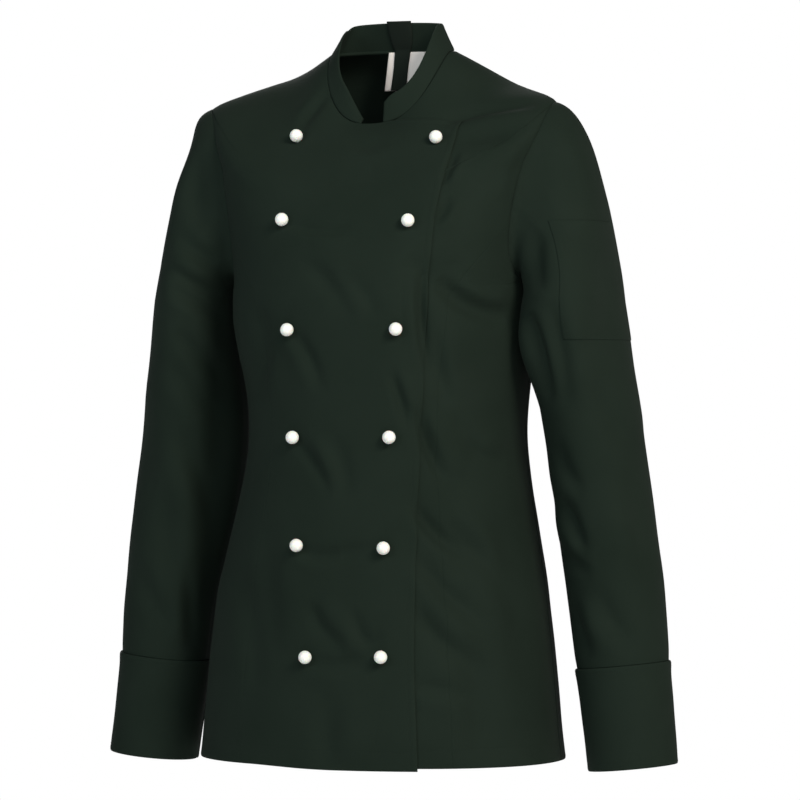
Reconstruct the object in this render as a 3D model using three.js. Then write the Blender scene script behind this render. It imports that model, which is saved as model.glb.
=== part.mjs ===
// A women's double-breasted chef jacket, filled out as if worn, with no wearer in it.
// Millimetres, +Z up. The front faces -Y and the wearer's left arm is at +X.
// The origin is the middle of the neck opening, level with the shoulders beside the collar.
// Every cloth piece is a closed wall whose points are worked out from the tables below.

import * as THREE from 'three';

// Cloth
const WALL = 1.6;
const COLLAR_WALL = 2.0;
const TRIM_WALL = 1.0;
const SEAM = 0.3;
const LAP_GAP = 0.6;
const LAP_DEPTH = WALL + LAP_GAP;

// Body rings from the neck seam to the hem: heights and depths at the centre front, at the
// shoulder ridge or side seam, and at the centre back. xMid is the ring's middle, closure is
// where the middle of the front lap lies, and power shapes the ring: 2 is an ellipse.
const RING_COLUMNS = [
  'zFront', 'zSide', 'zBack', 'halfWidth', 'xMid', 'yFront', 'ySide', 'yBack', 'power', 'closure',
];
const RINGS = [
  [-72, 2, 5, 60, 0, -47, 24, 47, 2.8, 0],
  [-98, -22, -18, 105, 0, -76, 45, 71, 2.3, -0.5],
  [-134, -51, -64, 168, 0, -102, 8, 86, 2.2, -1.5],
  [-163, -98, -102, 166, 0, -117, 6, 95, 2.2, -3.5],
  [-194, -148, -152, 158, 0, -127, 6, 97, 2.2, -4],
  [-230, -206, -206, 149.5, 0, -132, 6, 95, 2.2, -3.5],
  [-264, -262, -262, 149, 0, -134, 6, 89, 2.2, -3],
  [-376, -376, -376, 136, 2, -129, 8, 76, 2.2, -4.8],
  [-530, -530, -530, 163, -4, -132, 6, 106, 2.2, -2.5],
  [-683, -683, -683, 179, -5, -136, 4, 126, 2.2, 1],
];
const HEM_V = RINGS.length - 1;
const FRONT_RISE_POWER = 1.4;
const BACK_RISE_POWER = 1.25;

// Armhole: a closed curve on the body, in degrees round it and in rings down it
const ARMHOLE_TOP_V = 2;
const ARMHOLE_BOTTOM_V = 5.35;
const ARMHOLE_HALF_ANGLE = 27;
const ARMHOLE_POWER = 2.6;
const SLEEVE_SIDES = 20;

// Front seam from the armhole over the bust to the hem
const FRONT_SEAM_STEP = 6;
const FRONT_SEAM_HEM_ANGLE = 34.5;
const FRONT_SEAM_EASE = 0.75;
const FRONT_SEAM_START_GAP = 0.12;

// Double-breasted lap: its top edge is level, and its sides draw in towards the hem
const LAP_TOP_Z = -70.5;
const STUD_TOP_Z = -85;
const STUD_END_Z = -590;
const STUD_END_HALF_SPACING = 36.5;
const STUD_SPREAD = 33;
const STUD_SPREAD_POWER = 1.25;
const LAP_MARGIN_TOP = 22;
const LAP_MARGIN_SLOPE = 0.02;
const LAP_MARGIN_HIDDEN = 12;
const LAP_EASE_ANGLE = 32;
const STUD_ROWS = [
  { right: -87, left: -92 },
  { right: -167.5, left: -170.5 },
  { right: -270, left: -271 },
  { right: -374, left: -374 },
  { right: -477, left: -476 },
  { right: -580, left: -578.5 },
];

// Ball studs
const STUD_RADIUS = 6.6;
const STUD_FOOT_RADIUS = 3.4;
const STUD_SIDES = 10;
const STUD_STEPS = 6;

// Collar stand
const COLLAR_HEIGHT = 26;
const COLLAR_LEAN_FRONT = 6;
const COLLAR_LEAN_SIDE = 12;
const COLLAR_LEAN_BACK = 12;
const COLLAR_ROWS = 3;
const COLLAR_END_DROP = { left: 0.25, right: 0.8 };
const COLLAR_END_WIDTH = { left: 9, right: 24 };
const COLLAR_STAND_OFF = 0.4;
const COLLAR_AIM_SHARE = 0.5;
const COLLAR_END_SHARE = 0.56;

// Hanger loop inside the centre back: on the collar, and hanging down below its seam
const LOOP_ON_COLLAR = [
  { height: 1.09, half: 11.5 },
  { height: 0.6, half: 11.5 },
  { height: 0.3, half: 8 },
];
const LOOP_SPREAD = 0.52;
const LOOP_BELOW = [
  { drop: 2, half: 8 },
  { drop: 20, half: 8 },
  { drop: 40, half: 8 },
];

// Bare label hanging from the back neck seam
const LABEL_X = [-14, -3, 8, 20, 31];
const LABEL_DROPS = [1, 20, 39];
const LABEL_WALL = 0.6;
const TRIM_GAP = 0.4;
const HANG_SWAY = 0.05;

// Sleeve rings from the underarm to the cuff's lower edge; tilt is the rise per mm outwards
const SLEEVE_COLUMNS = ['z', 'x', 'y', 'halfWidth', 'halfDepth', 'tilt'];
const SLEEVE_RINGS = [
  [-240, 193, 2, 40, 74, 0],
  [-281, 197, 4, 42, 70, 0.01],
  [-338, 202, 7, 46, 62, 0.03],
  [-386, 208, 9, 46.5, 58.5, 0.04],
  [-434, 215, 10, 46.5, 56, 0.05],
  [-487, 222, 11, 46.5, 51, 0.07],
  [-540, 228.5, 11.5, 46, 47, 0.085],
  [-590, 233.5, 11.5, 44.5, 44, 0.1],
  [-687, 245, 6, 42, 42, 0.1],
];
const CUFF_RING = SLEEVE_RINGS.length - 2;
const CUFF_STAND = 0.9;
const CUFF_STEPS = 3;

// Sleeve cap: how far the cloth runs on from the armhole, and up from the first sleeve ring
const CAP_REACH_MEAN = 21;
const CAP_REACH_SWING = 15;
const CAP_HEAD = new THREE.Vector3(0.97, 0, -0.24);
const CAP_RISE_MEAN = 54;
const CAP_RISE_SWING = 46;
const CAP_LEAN_IN = 17;
const CAP_LEAVE_LEVEL = 0.45;
const CAP_STEPS = [0, 0.25, 0.6, 1];

// Pen pocket on the wearer's left sleeve, in steps round the sleeve
const POCKET_TOP_Z = -168;
const POCKET_FIRST_STEP = -2;
const POCKET_LAST_STEP = 4;
const POCKET_GAP = 0.35;

// Largest folds of the front: a soft trough from one end to the other, in mm
const FRONT_FOLDS = [
  { x0: 82, z0: -222, x1: 135, z1: -258, width: 16, depth: 5 },
  { x0: 66, z0: -212, x1: 78, z1: -310, width: 12, depth: 3 },
  { x0: 75, z0: -352, x1: 100, z1: -414, width: 14, depth: 3 },
  { x0: 70, z0: -440, x1: 108, z1: -490, width: 16, depth: 3.5 },
  { x0: 92, z0: -80, x1: 150, z1: -62, width: 11, depth: 3 },
];

// The two shoulders aren't alike: soft shifts of the cloth round a place on each, in mm
const SHOULDER_SHIFTS = [
  { x: -172, y: 8, z: -62, across: -15, up: 0, reach: 30 },
  { x: -118, y: 25, z: -28, across: -2, up: 3.5, reach: 42 },
  { x: 122, y: 25, z: -30, across: 0, up: -4, reach: 42 },
];

// Colour and finish of each material
const TWILL = { color: 0x1f2923, roughness: 0.86, metalness: 0 };
const STUD_WHITE = { color: 0xf4f4f0, roughness: 0.35, metalness: 0 };
const LABEL_WHITE = { color: 0xe9e2dd, roughness: 0.8, metalness: 0 };

const DEGREES = Math.PI / 180;
const UP = new THREE.Vector3(0, 0, 1);

// Smooth value of a table's column between its rows
function tableValue(rows, column, at) {
  const last = rows.length - 1;
  const low = Math.min(Math.max(Math.floor(at), 0), last - 1);
  const t = at - low;
  const b = rows[low][column];
  const c = rows[low + 1][column];
  const a = low > 0 ? rows[low - 1][column] : 2 * b - c;
  const d = low + 2 <= last ? rows[low + 2][column] : 2 * c - b;
  const slope = (c - a) / 2;
  const curve = a - 2.5 * b + 2 * c - d / 2;
  const twist = (d - a) / 2 + 1.5 * (b - c);
  return b + t * (slope + t * (curve + t * twist));
}

function tableRow(rows, names, at) {
  return Object.fromEntries(names.map((name, column) => [name, tableValue(rows, column, at)]));
}

function bodyRing(v) {
  return tableRow(RINGS, RING_COLUMNS, v);
}

function smoothStep(t) {
  const s = Math.min(Math.max(t, 0), 1);
  return s * s * (3 - 2 * s);
}

// How far a fold lowers the cloth at a place on the front
function foldDepth(x, z) {
  let depth = 0;
  for (const fold of FRONT_FOLDS) {
    const runX = fold.x1 - fold.x0;
    const runZ = fold.z1 - fold.z0;
    const along = ((x - fold.x0) * runX + (z - fold.z0) * runZ) / (runX * runX + runZ * runZ);
    const t = Math.min(Math.max(along, 0), 1);
    const away = Math.hypot(x - fold.x0 - t * runX, z - fold.z0 - t * runZ) / fold.width;
    depth += fold.depth * Math.exp(-away * away);
  }
  return depth;
}

// The body's outer surface: angle is 0 at the centre front, 90 at the wearer's left side and
// 180 at the centre back, and v counts the rings from the neck
function bodyPoint(angle, v) {
  const ring = bodyRing(v);
  const sine = Math.sin(angle * DEGREES);
  const cosine = Math.cos(angle * DEGREES);
  const squash = 2 / ring.power;
  const x = ring.xMid + ring.halfWidth * Math.sign(sine) * Math.abs(sine) ** squash;
  const isFront = cosine > 0;
  const yEnd = isFront ? ring.yFront : ring.yBack;
  const zEnd = isFront ? ring.zFront : ring.zBack;
  const risePower = isFront ? FRONT_RISE_POWER : BACK_RISE_POWER;
  const y = ring.ySide + (yEnd - ring.ySide) * Math.abs(cosine) ** squash;
  const z = ring.zSide + (zEnd - ring.zSide) * Math.abs(cosine) ** risePower;
  const point = new THREE.Vector3(x, y, z);
  if (isFront) {
    const inward = new THREE.Vector3(ring.xMid - x, ring.ySide - y, 0).normalize();
    point.addScaledVector(inward, foldDepth(x, z) * smoothStep(3 * cosine));
  }
  return point;
}

function bodyNormal(angle, v) {
  const stepAngle = 0.5;
  const stepV = 0.02;
  const vLow = Math.max(v - stepV, 0);
  const vHigh = Math.min(v + stepV, HEM_V);
  const round = bodyPoint(angle + stepAngle, v).sub(bodyPoint(angle - stepAngle, v));
  const down = bodyPoint(angle, vHigh).sub(bodyPoint(angle, vLow));
  return down.cross(round).normalize();
}

function bodyLayer(angle, v, depth) {
  return bodyPoint(angle, v).addScaledVector(bodyNormal(angle, v), -depth);
}

// The angle that turns a distance along the cloth into degrees round the body
function angleFor(distance, angle, v) {
  const step = 0.5;
  const perStep = bodyPoint(angle + step, v).distanceTo(bodyPoint(angle - step, v));
  return (distance / perStep) * 2 * step;
}

// The angle at which a ring reaches a place across the front
function angleAcross(x, v) {
  const ring = bodyRing(v);
  const share = Math.min(Math.abs(x - ring.xMid) / ring.halfWidth, 1);
  return (Math.sign(x - ring.xMid) * Math.asin(share ** (ring.power / 2))) / DEGREES;
}

function studHalfSpacing(z) {
  const share = Math.max((z - STUD_END_Z) / (STUD_TOP_Z - STUD_END_Z), 0);
  return STUD_END_HALF_SPACING + STUD_SPREAD * share ** STUD_SPREAD_POWER;
}

// Side edge of the lap: side is +1 for the edge on the wearer's left, -1 for the hidden one
function lapSideAngle(v, side) {
  const ring = bodyRing(v);
  let z = ring.zFront;
  let angle = 0;
  for (let pass = 0; pass < 6; pass += 1) {
    const shownMargin = LAP_MARGIN_TOP + LAP_MARGIN_SLOPE * (STUD_TOP_Z - z);
    const margin = side > 0 ? shownMargin : LAP_MARGIN_HIDDEN;
    angle = angleAcross(ring.closure + side * (studHalfSpacing(z) + margin), v);
    z = bodyPoint(angle, v).z;
  }
  return angle;
}

// Level top edge of the lap
function lapTopAngle(v, side) {
  const ring = bodyRing(v);
  const share = (LAP_TOP_Z - ring.zSide) / (ring.zFront - ring.zSide);
  return (side * Math.acos(Math.min(Math.max(share, 0), 1) ** (1 / FRONT_RISE_POWER))) / DEGREES;
}

// The ring at which the lap's level top meets its side edge
function lapCornerV(side) {
  let low = 0;
  let high = ARMHOLE_TOP_V;
  for (let pass = 0; pass < 30; pass += 1) {
    const middle = (low + high) / 2;
    if (Math.abs(lapTopAngle(middle, side)) < Math.abs(lapSideAngle(middle, side))) low = middle;
    else high = middle;
  }
  return low;
}

const LAP_CORNER_V = lapCornerV(1);
const HIDDEN_CORNER_V = lapCornerV(-1);

function lapAngle(v, side) {
  const corner = side > 0 ? LAP_CORNER_V : HIDDEN_CORNER_V;
  return v < corner ? lapTopAngle(v, side) : lapSideAngle(v, side);
}

function closureAngle(v) {
  return angleAcross(bodyRing(v).closure, v);
}

// Armhole: turn is 0 at the shoulder, 90 at the front, 180 at the underarm and 270 at the back
function armholePlace(turn) {
  const u = -Math.cos(turn * DEGREES);
  const middle = (ARMHOLE_TOP_V + ARMHOLE_BOTTOM_V) / 2;
  const half = (ARMHOLE_BOTTOM_V - ARMHOLE_TOP_V) / 2;
  const side = Math.sin(turn * DEGREES) >= 0 ? -1 : 1;
  return { angle: 90 + side * armholeHalfAngle(u), v: middle + half * u };
}

function armholeHalfAngle(u) {
  return ARMHOLE_HALF_ANGLE * Math.max(1 - Math.abs(u) ** ARMHOLE_POWER, 0) ** (1 / ARMHOLE_POWER);
}

function isInArmhole(v) {
  return v > ARMHOLE_TOP_V && v < ARMHOLE_BOTTOM_V;
}

// Angle of a body panel's outer edge: the shoulder seam, the armhole or the side seam
function sideAngle(v, isBack) {
  if (!isInArmhole(v)) return 90;
  const middle = (ARMHOLE_TOP_V + ARMHOLE_BOTTOM_V) / 2;
  const half = (ARMHOLE_BOTTOM_V - ARMHOLE_TOP_V) / 2;
  const width = armholeHalfAngle((v - middle) / half);
  return isBack ? 90 + width : 90 - width;
}

const SLEEVE_TURN = 360 / SLEEVE_SIDES;
const FRONT_SEAM_V = armholePlace(FRONT_SEAM_STEP * SLEEVE_TURN).v;

function frontSeamAngle(v) {
  const start = sideAngle(FRONT_SEAM_V, false) - FRONT_SEAM_HEM_ANGLE;
  return FRONT_SEAM_HEM_ANGLE + start * Math.exp((FRONT_SEAM_V - v) / FRONT_SEAM_EASE);
}

// Rows down the body that all panels share, so that their seams match
function bodyRows() {
  const rows = [0, 0.35, 0.75, LAP_CORNER_V, 1.5, 1.75, FRONT_SEAM_V + FRONT_SEAM_START_GAP];
  for (let step = 0; step <= SLEEVE_SIDES / 2; step += 1) rows.push(armholePlace(step * SLEEVE_TURN).v);
  rows.push(5.7, 6.1, 6.55, 7, 7.4, 7.8, 8.25, 8.65, HEM_V);
  return rows.sort((a, b) => a - b);
}

const ROWS = bodyRows();
const LAP_STEPS = 4;
const FRONT_STEPS = 6;
const SIDE_STEPS = 4;
const BACK_STEPS = 8;

function between(from, to, steps) {
  return Array.from({ length: steps + 1 }, (_, step) => from + ((to - from) * step) / steps);
}

function onShoulders(point) {
  const moved = point.clone();
  for (const shift of SHOULDER_SHIFTS) {
    const away = Math.hypot(point.x - shift.x, point.y - shift.y, point.z - shift.z) / shift.reach;
    const share = Math.exp(-away * away);
    moved.x += shift.across * share;
    moved.z += shift.up * share;
  }
  return moved;
}

// A closed wall from matching outer and inner grids of points
function wallGeometry(outer, inner, wraps) {
  const rows = outer.length;
  const columns = outer[0].length;
  const points = [...outer.flat(), ...inner.flat()].map(onShoulders);
  const faces = [];
  const index = (layer, row, column) => (layer * rows + row) * columns + (column % columns);
  const addQuad = (a, b, c, d) => {
    faces.push(a, b, c, a, c, d);
  };
  const spans = wraps ? columns : columns - 1;
  for (let row = 0; row < rows - 1; row += 1) {
    for (let column = 0; column < spans; column += 1) {
      const corners = (layer) => [
        index(layer, row, column), index(layer, row + 1, column),
        index(layer, row + 1, column + 1), index(layer, row, column + 1),
      ];
      addQuad(...corners(0));
      const [a, b, c, d] = corners(1);
      addQuad(a, d, c, b);
    }
    if (!wraps) {
      addQuad(index(0, row, 0), index(1, row, 0), index(1, row + 1, 0), index(0, row + 1, 0));
      const end = columns - 1;
      addQuad(index(0, row, end), index(0, row + 1, end), index(1, row + 1, end), index(1, row, end));
    }
  }
  for (let column = 0; column < spans; column += 1) {
    const next = column + 1;
    addQuad(index(0, 0, column), index(0, 0, next), index(1, 0, next), index(1, 0, column));
    const end = rows - 1;
    addQuad(index(0, end, column), index(1, end, column), index(1, end, next), index(0, end, next));
  }
  const geometry = new THREE.BufferGeometry();
  const positions = new Float32Array(points.flatMap((point) => point.toArray()));
  geometry.setAttribute('position', new THREE.BufferAttribute(positions, 3));
  geometry.setIndex(faces);
  facesOut(geometry);
  geometry.computeVertexNormals();
  return geometry;
}

// Turns all faces over if the wall came out inside out
function facesOut(geometry) {
  const position = geometry.getAttribute('position');
  const index = geometry.getIndex();
  const corner = [new THREE.Vector3(), new THREE.Vector3(), new THREE.Vector3()];
  let volume = 0;
  for (let face = 0; face < index.count; face += 3) {
    corner.forEach((point, place) => point.fromBufferAttribute(position, index.getX(face + place)));
    volume += corner[0].dot(corner[1].cross(corner[2]));
  }
  if (volume > 0) return;
  for (let face = 0; face < index.count; face += 3) {
    const second = index.getX(face + 1);
    index.setX(face + 1, index.getX(face + 2));
    index.setX(face + 2, second);
  }
}

function cloth(name, outer, inner, finish = TWILL, wraps = false) {
  const mesh = new THREE.Mesh(wallGeometry(outer, inner, wraps), new THREE.MeshStandardMaterial(finish));
  mesh.name = name;
  return mesh;
}

function mirrored(grid) {
  return grid.map((row) => row.map((point) => new THREE.Vector3(-point.x, point.y, point.z)));
}

// A body panel between two edges given as lists of angles for each row
function bodyPanel(name, rows, anglesOf, depthOf) {
  const outer = rows.map((v) => anglesOf(v).map((angle) => bodyLayer(angle, v, depthOf(angle, v))));
  const inner = rows.map((v) => anglesOf(v).map((angle) => bodyLayer(angle, v, depthOf(angle, v) + WALL)));
  return cloth(name, outer, inner);
}

function insetAngles(angles, v) {
  const last = angles.length - 1;
  const result = [...angles];
  const direction = Math.sign(angles[last] - angles[0]);
  result[0] += direction * angleFor(SEAM / 2, angles[0], v);
  result[last] -= direction * angleFor(SEAM / 2, angles[last], v);
  return result;
}

// Angles across a front: from its edge on the far side of the lap to its own side
function frontAngles(v, side) {
  const middle = closureAngle(v);
  const far = lapAngle(v, -side);
  const near = lapAngle(v, side);
  const ownEdge = v > FRONT_SEAM_V ? frontSeamAngle(v) : sideAngle(v, false);
  const angles = [
    ...between(far, middle, LAP_STEPS),
    ...between(middle, near, LAP_STEPS).slice(1),
    ...between(near, side * ownEdge, FRONT_STEPS).slice(1),
  ];
  const trimmed = insetAngles(angles, v);
  trimmed[0] = far;
  return side > 0 ? trimmed : trimmed.reverse();
}

// The lower front lies under the upper one, and comes level with it outside the lap
function lowerFrontDepth(angle) {
  return LAP_DEPTH * (1 - smoothStep(angle / LAP_EASE_ANGLE));
}

// The upper front rises over the lower one towards its own edge
function upperFrontDepth(angle) {
  return -LAP_DEPTH * smoothStep(angle / LAP_EASE_ANGLE);
}

function frontPanels() {
  return [
    bodyPanel('front_right', ROWS, (v) => frontAngles(v, -1), upperFrontDepth),
    bodyPanel('front_left', ROWS, (v) => frontAngles(v, 1), lowerFrontDepth),
  ];
}

function sideFrontAngles(v) {
  return insetAngles(between(frontSeamAngle(v), sideAngle(v, false), SIDE_STEPS), v);
}

function sideFronts() {
  const rows = ROWS.filter((v) => v > FRONT_SEAM_V + 1e-6);
  const mirrorAngles = (v) => sideFrontAngles(v).map((angle) => -angle);
  return [
    bodyPanel('side_front_left', rows, sideFrontAngles, () => 0),
    bodyPanel('side_front_right', rows, mirrorAngles, () => 0),
  ];
}

function backAngles(v) {
  const side = sideAngle(v, true);
  const left = between(side, 180, BACK_STEPS);
  const right = between(180, 360 - side, BACK_STEPS).slice(1);
  return insetAngles([...left, ...right], v);
}

function backPanel() {
  return bodyPanel('back', ROWS, backAngles, () => 0);
}

// Collar stand: height runs from 0 at the neck seam to 1 at its top edge
function collarPoint(angle, height) {
  const base = bodyPoint(angle, 0);
  const cosine = Math.cos(angle * DEGREES);
  const end = cosine > 0 ? COLLAR_LEAN_FRONT : COLLAR_LEAN_BACK;
  const lean = COLLAR_LEAN_SIDE + (end - COLLAR_LEAN_SIDE) * cosine * cosine;
  const inward = new THREE.Vector3(-base.x, bodyRing(0).ySide * COLLAR_AIM_SHARE - base.y, 0).normalize();
  const rise = COLLAR_HEIGHT * height * collarEndShare(angle);
  return base.addScaledVector(inward, lean * height).addScaledVector(UP, rise + COLLAR_STAND_OFF);
}

// The collar's front corners are rounded off, more so on the wearer's right
function collarEndShare(angle) {
  const side = angle < 180 ? 'left' : 'right';
  const fromFront = angle < 180 ? angle : 360 - angle;
  const past = (fromFront - collarEndAngle()) / COLLAR_END_WIDTH[side];
  const t = Math.min(Math.max(past, 0), 1);
  return 1 - COLLAR_END_DROP[side] * (1 - t) ** 2;
}

function collarEndAngle() {
  return lapAngle(0, 1) * COLLAR_END_SHARE;
}

function collarAngles() {
  const lap = lapAngle(0, 1);
  const left = [collarEndAngle(), ...between(lap, 90, FRONT_STEPS), ...between(90, 180, BACK_STEPS).slice(1)];
  const right = left.slice(0, -1).reverse().map((angle) => 360 - angle);
  return [...left, ...right];
}

function collarInward(angle, height) {
  const step = 0.5;
  const round = collarPoint(angle + step, height).sub(collarPoint(angle - step, height));
  const up = collarPoint(angle, 1).sub(collarPoint(angle, 0));
  return up.cross(round).normalize();
}

function collarLayer(angle, height, depth) {
  return collarPoint(angle, height).addScaledVector(collarInward(angle, height), depth);
}

function collar() {
  const heights = between(0, 1, COLLAR_ROWS);
  const outer = heights.map((height) => collarAngles().map((angle) => collarPoint(angle, height)));
  const inner = heights.map((height) => collarAngles().map((angle) => collarLayer(angle, height, COLLAR_WALL)));
  return cloth('collar', outer, inner);
}

// A place on cloth that hangs straight down from the back neck seam, inside it
function hangingPoint(x, drop, depth) {
  const top = collarLayer(180 - angleAcross(x, 0), 0, COLLAR_WALL + TRIM_GAP + depth);
  return new THREE.Vector3(top.x, top.y - HANG_SWAY * drop, top.z - drop);
}

function hangerLoop() {
  const acrossOf = (half, place) => [-half, 0, half].map(place);
  const collarRow = (height, half, extra) =>
    acrossOf(half * (1 + LOOP_SPREAD * height), (x) =>
      collarLayer(180 - angleAcross(x, 0), height, COLLAR_WALL + TRIM_GAP + extra));
  const hangingRow = (drop, half, extra) =>
    acrossOf(half, (x) => hangingPoint(x, drop, LABEL_WALL + TRIM_GAP + extra));
  const layerRows = (extra) => [
    ...LOOP_ON_COLLAR.map(({ height, half }) => collarRow(height, half, extra)),
    ...LOOP_BELOW.map(({ drop, half }) => hangingRow(drop, half, extra)),
  ];
  return cloth('hanger_loop', layerRows(0), layerRows(TRIM_WALL));
}

function label() {
  const layerRows = (depth) => LABEL_DROPS.map((drop) => LABEL_X.map((x) => hangingPoint(x, drop, depth)));
  return cloth('label', layerRows(0), layerRows(LABEL_WALL), LABEL_WHITE);
}

// Sleeve: a point on one of its rings, turn as for the armhole, ring from the table
function sleeveRingPoint(turn, ring) {
  const row = tableRow(SLEEVE_RINGS, SLEEVE_COLUMNS, ring);
  const out = row.halfWidth * Math.cos(turn * DEGREES);
  const fore = row.halfDepth * Math.sin(turn * DEGREES);
  return new THREE.Vector3(row.x + out, row.y - fore, row.z + row.tilt * out);
}

function armholePoint(turn) {
  const place = armholePlace(turn);
  return bodyPoint(place.angle, place.v);
}

function armholeNormal(turn) {
  const place = armholePlace(turn);
  return bodyNormal(place.angle, place.v);
}

// Direction along the cloth from the armhole's edge into the sleeve
function armholeOutward(turn) {
  const step = SLEEVE_TURN / 2;
  const along = armholePoint(turn + step).sub(armholePoint(turn - step));
  return armholeNormal(turn).cross(along).normalize();
}

// Sleeve cap: a curve for each turn, from the armhole (0) to the first sleeve ring (1)
function capCurve(turn) {
  const outward = armholeOutward(turn);
  const start = armholePoint(turn).addScaledVector(outward, SEAM);
  const end = sleeveRingPoint(turn, 0);
  const cosine = Math.cos(turn * DEGREES);
  const towards = end.clone().sub(start).normalize();
  const leaving = towards.lerp(outward, CAP_LEAVE_LEVEL + (1 - CAP_LEAVE_LEVEL) * Math.abs(cosine));
  leaving.lerp(CAP_HEAD, smoothStep(cosine)).normalize();
  const reach = CAP_REACH_MEAN + CAP_REACH_SWING * cosine;
  const rise = CAP_RISE_MEAN + CAP_RISE_SWING * cosine;
  const first = start.clone().addScaledVector(leaving, reach);
  const second = end.clone().addScaledVector(UP, rise);
  second.x -= CAP_LEAN_IN * Math.max(cosine, 0);
  return new THREE.CubicBezierCurve3(start, first, second, end);
}

// Where a cap curve passes the pen pocket's upper edge, worked out on the outer half only
function pocketEdgeShare(turn) {
  const fromShoulder = Math.abs(((turn + 180) % 360) - 180);
  const outerTurn = Math.min(fromShoulder, 90) * (turn > 180 ? -1 : 1);
  const curve = capCurve((outerTurn + 360) % 360);
  let low = 0;
  let high = 1;
  for (let pass = 0; pass < 24; pass += 1) {
    const middle = (low + high) / 2;
    if (curve.getPoint(middle).z > POCKET_TOP_Z) low = middle;
    else high = middle;
  }
  const past = Math.max(fromShoulder - 90, 0) / 90;
  return low + (0.5 - low) * past;
}

function sleeveTurns() {
  return Array.from({ length: SLEEVE_SIDES }, (_, step) => step * SLEEVE_TURN);
}

// Rows of the left sleeve, from the armhole to the cuff
function sleeveGrid() {
  const turns = sleeveTurns();
  const grid = CAP_STEPS.map((step) =>
    turns.map((turn) => capCurve(turn).getPoint(step * pocketEdgeShare(turn))));
  grid.push(turns.map((turn) => capCurve(turn).getPoint((1 + pocketEdgeShare(turn)) / 2)));
  for (let ring = 0; ring <= CUFF_RING; ring += 1) {
    grid.push(turns.map((turn) => sleeveRingPoint(turn, ring)));
  }
  return grid;
}

const POCKET_TOP_ROW = CAP_STEPS.length - 1;
const POCKET_BOTTOM_ROW = CAP_STEPS.length + 2;

// Inward directions of a grid that closes on itself
function inwardDirections(grid) {
  return grid.map((row, r) => row.map((_, c) => {
    const above = grid[Math.max(r - 1, 0)][c];
    const below = grid[Math.min(r + 1, grid.length - 1)][c];
    const next = row[(c + 1) % row.length];
    const previous = row[(c + row.length - 1) % row.length];
    const down = below.clone().sub(above);
    const round = next.clone().sub(previous);
    return down.cross(round).normalize();
  }));
}

function movedBy(grid, directions, distance) {
  return grid.map((row, r) => row.map((point, c) => point.clone().addScaledVector(directions[r][c], distance)));
}

function sleeves() {
  const outer = sleeveGrid();
  const inward = inwardDirections(outer);
  inward[0] = sleeveTurns().map((turn) => armholeNormal(turn).negate());
  const inner = movedBy(outer, inward, WALL);
  return [
    cloth('sleeve_left', outer, inner, TWILL, true),
    cloth('sleeve_right', mirrored(outer), mirrored(inner), TWILL, true),
  ];
}

function cuffs() {
  const rings = between(CUFF_RING, CUFF_RING + 1, CUFF_STEPS);
  const grid = rings.map((ring) => sleeveTurns().map((turn) => sleeveRingPoint(turn, ring)));
  const inward = inwardDirections(grid);
  const outer = movedBy(grid, inward, -CUFF_STAND);
  const inner = movedBy(grid, inward, WALL - CUFF_STAND);
  [outer, inner].forEach((layer) => layer[0].forEach((point) => point.addScaledVector(UP, -SEAM)));
  return [
    cloth('cuff_left', outer, inner, TWILL, true),
    cloth('cuff_right', mirrored(outer), mirrored(inner), TWILL, true),
  ];
}

function penPocket() {
  const grid = sleeveGrid();
  const inward = inwardDirections(grid);
  const pick = (layer) => {
    const rows = layer.slice(POCKET_TOP_ROW, POCKET_BOTTOM_ROW + 1);
    const steps = between(POCKET_FIRST_STEP, POCKET_LAST_STEP, POCKET_LAST_STEP - POCKET_FIRST_STEP);
    return rows.map((row) => steps.map((step) => row[(step + SLEEVE_SIDES) % SLEEVE_SIDES]));
  };
  const outer = pick(movedBy(grid, inward, -POCKET_GAP - TRIM_WALL));
  const inner = pick(movedBy(grid, inward, -POCKET_GAP));
  return cloth('pen_pocket', outer, inner);
}

// Ball stud with a flat foot, standing on its own z axis
function studGeometry() {
  const centre = Math.sqrt(STUD_RADIUS ** 2 - STUD_FOOT_RADIUS ** 2);
  const footAngle = Math.asin(STUD_FOOT_RADIUS / STUD_RADIUS);
  const profile = [new THREE.Vector2(0, 0)];
  for (let step = 0; step <= STUD_STEPS; step += 1) {
    const turn = Math.PI - footAngle - ((Math.PI - footAngle) * step) / STUD_STEPS;
    const radius = step === STUD_STEPS ? 0 : STUD_RADIUS * Math.sin(turn);
    profile.push(new THREE.Vector2(radius, centre + STUD_RADIUS * Math.cos(turn)));
  }
  return new THREE.LatheGeometry(profile, STUD_SIDES).rotateX(Math.PI / 2);
}

// The ring at which the body reaches a height, across the front
function ringAtHeight(x, z) {
  let low = 0;
  let high = HEM_V;
  for (let pass = 0; pass < 30; pass += 1) {
    const middle = (low + high) / 2;
    if (bodyPoint(angleAcross(x, middle), middle).z > z) low = middle;
    else high = middle;
  }
  return low;
}

function stud(name, x, z) {
  const v = ringAtHeight(x, z);
  const angle = angleAcross(x, v);
  const mesh = new THREE.Mesh(studGeometry(), new THREE.MeshStandardMaterial(STUD_WHITE));
  mesh.name = name;
  const normal = bodyNormal(angle, v);
  mesh.position.copy(bodyLayer(angle, v, upperFrontDepth(angle) - SEAM));
  mesh.quaternion.setFromUnitVectors(UP, normal);
  return mesh;
}

function studs() {
  return STUD_ROWS.flatMap(({ right, left }, row) => {
    const closure = bodyRing(ringAtHeight(0, right)).closure;
    return [
      stud(`stud_right_${row + 1}`, closure - studHalfSpacing(right), right),
      stud(`stud_left_${row + 1}`, closure + studHalfSpacing(left), left),
    ];
  });
}

const jacket = new THREE.Group();
jacket.add(...frontPanels(), ...sideFronts(), backPanel(), collar(), hangerLoop(), label());
jacket.add(...sleeves(), ...cuffs(), penPocket(), ...studs());

export default jacket;
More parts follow.
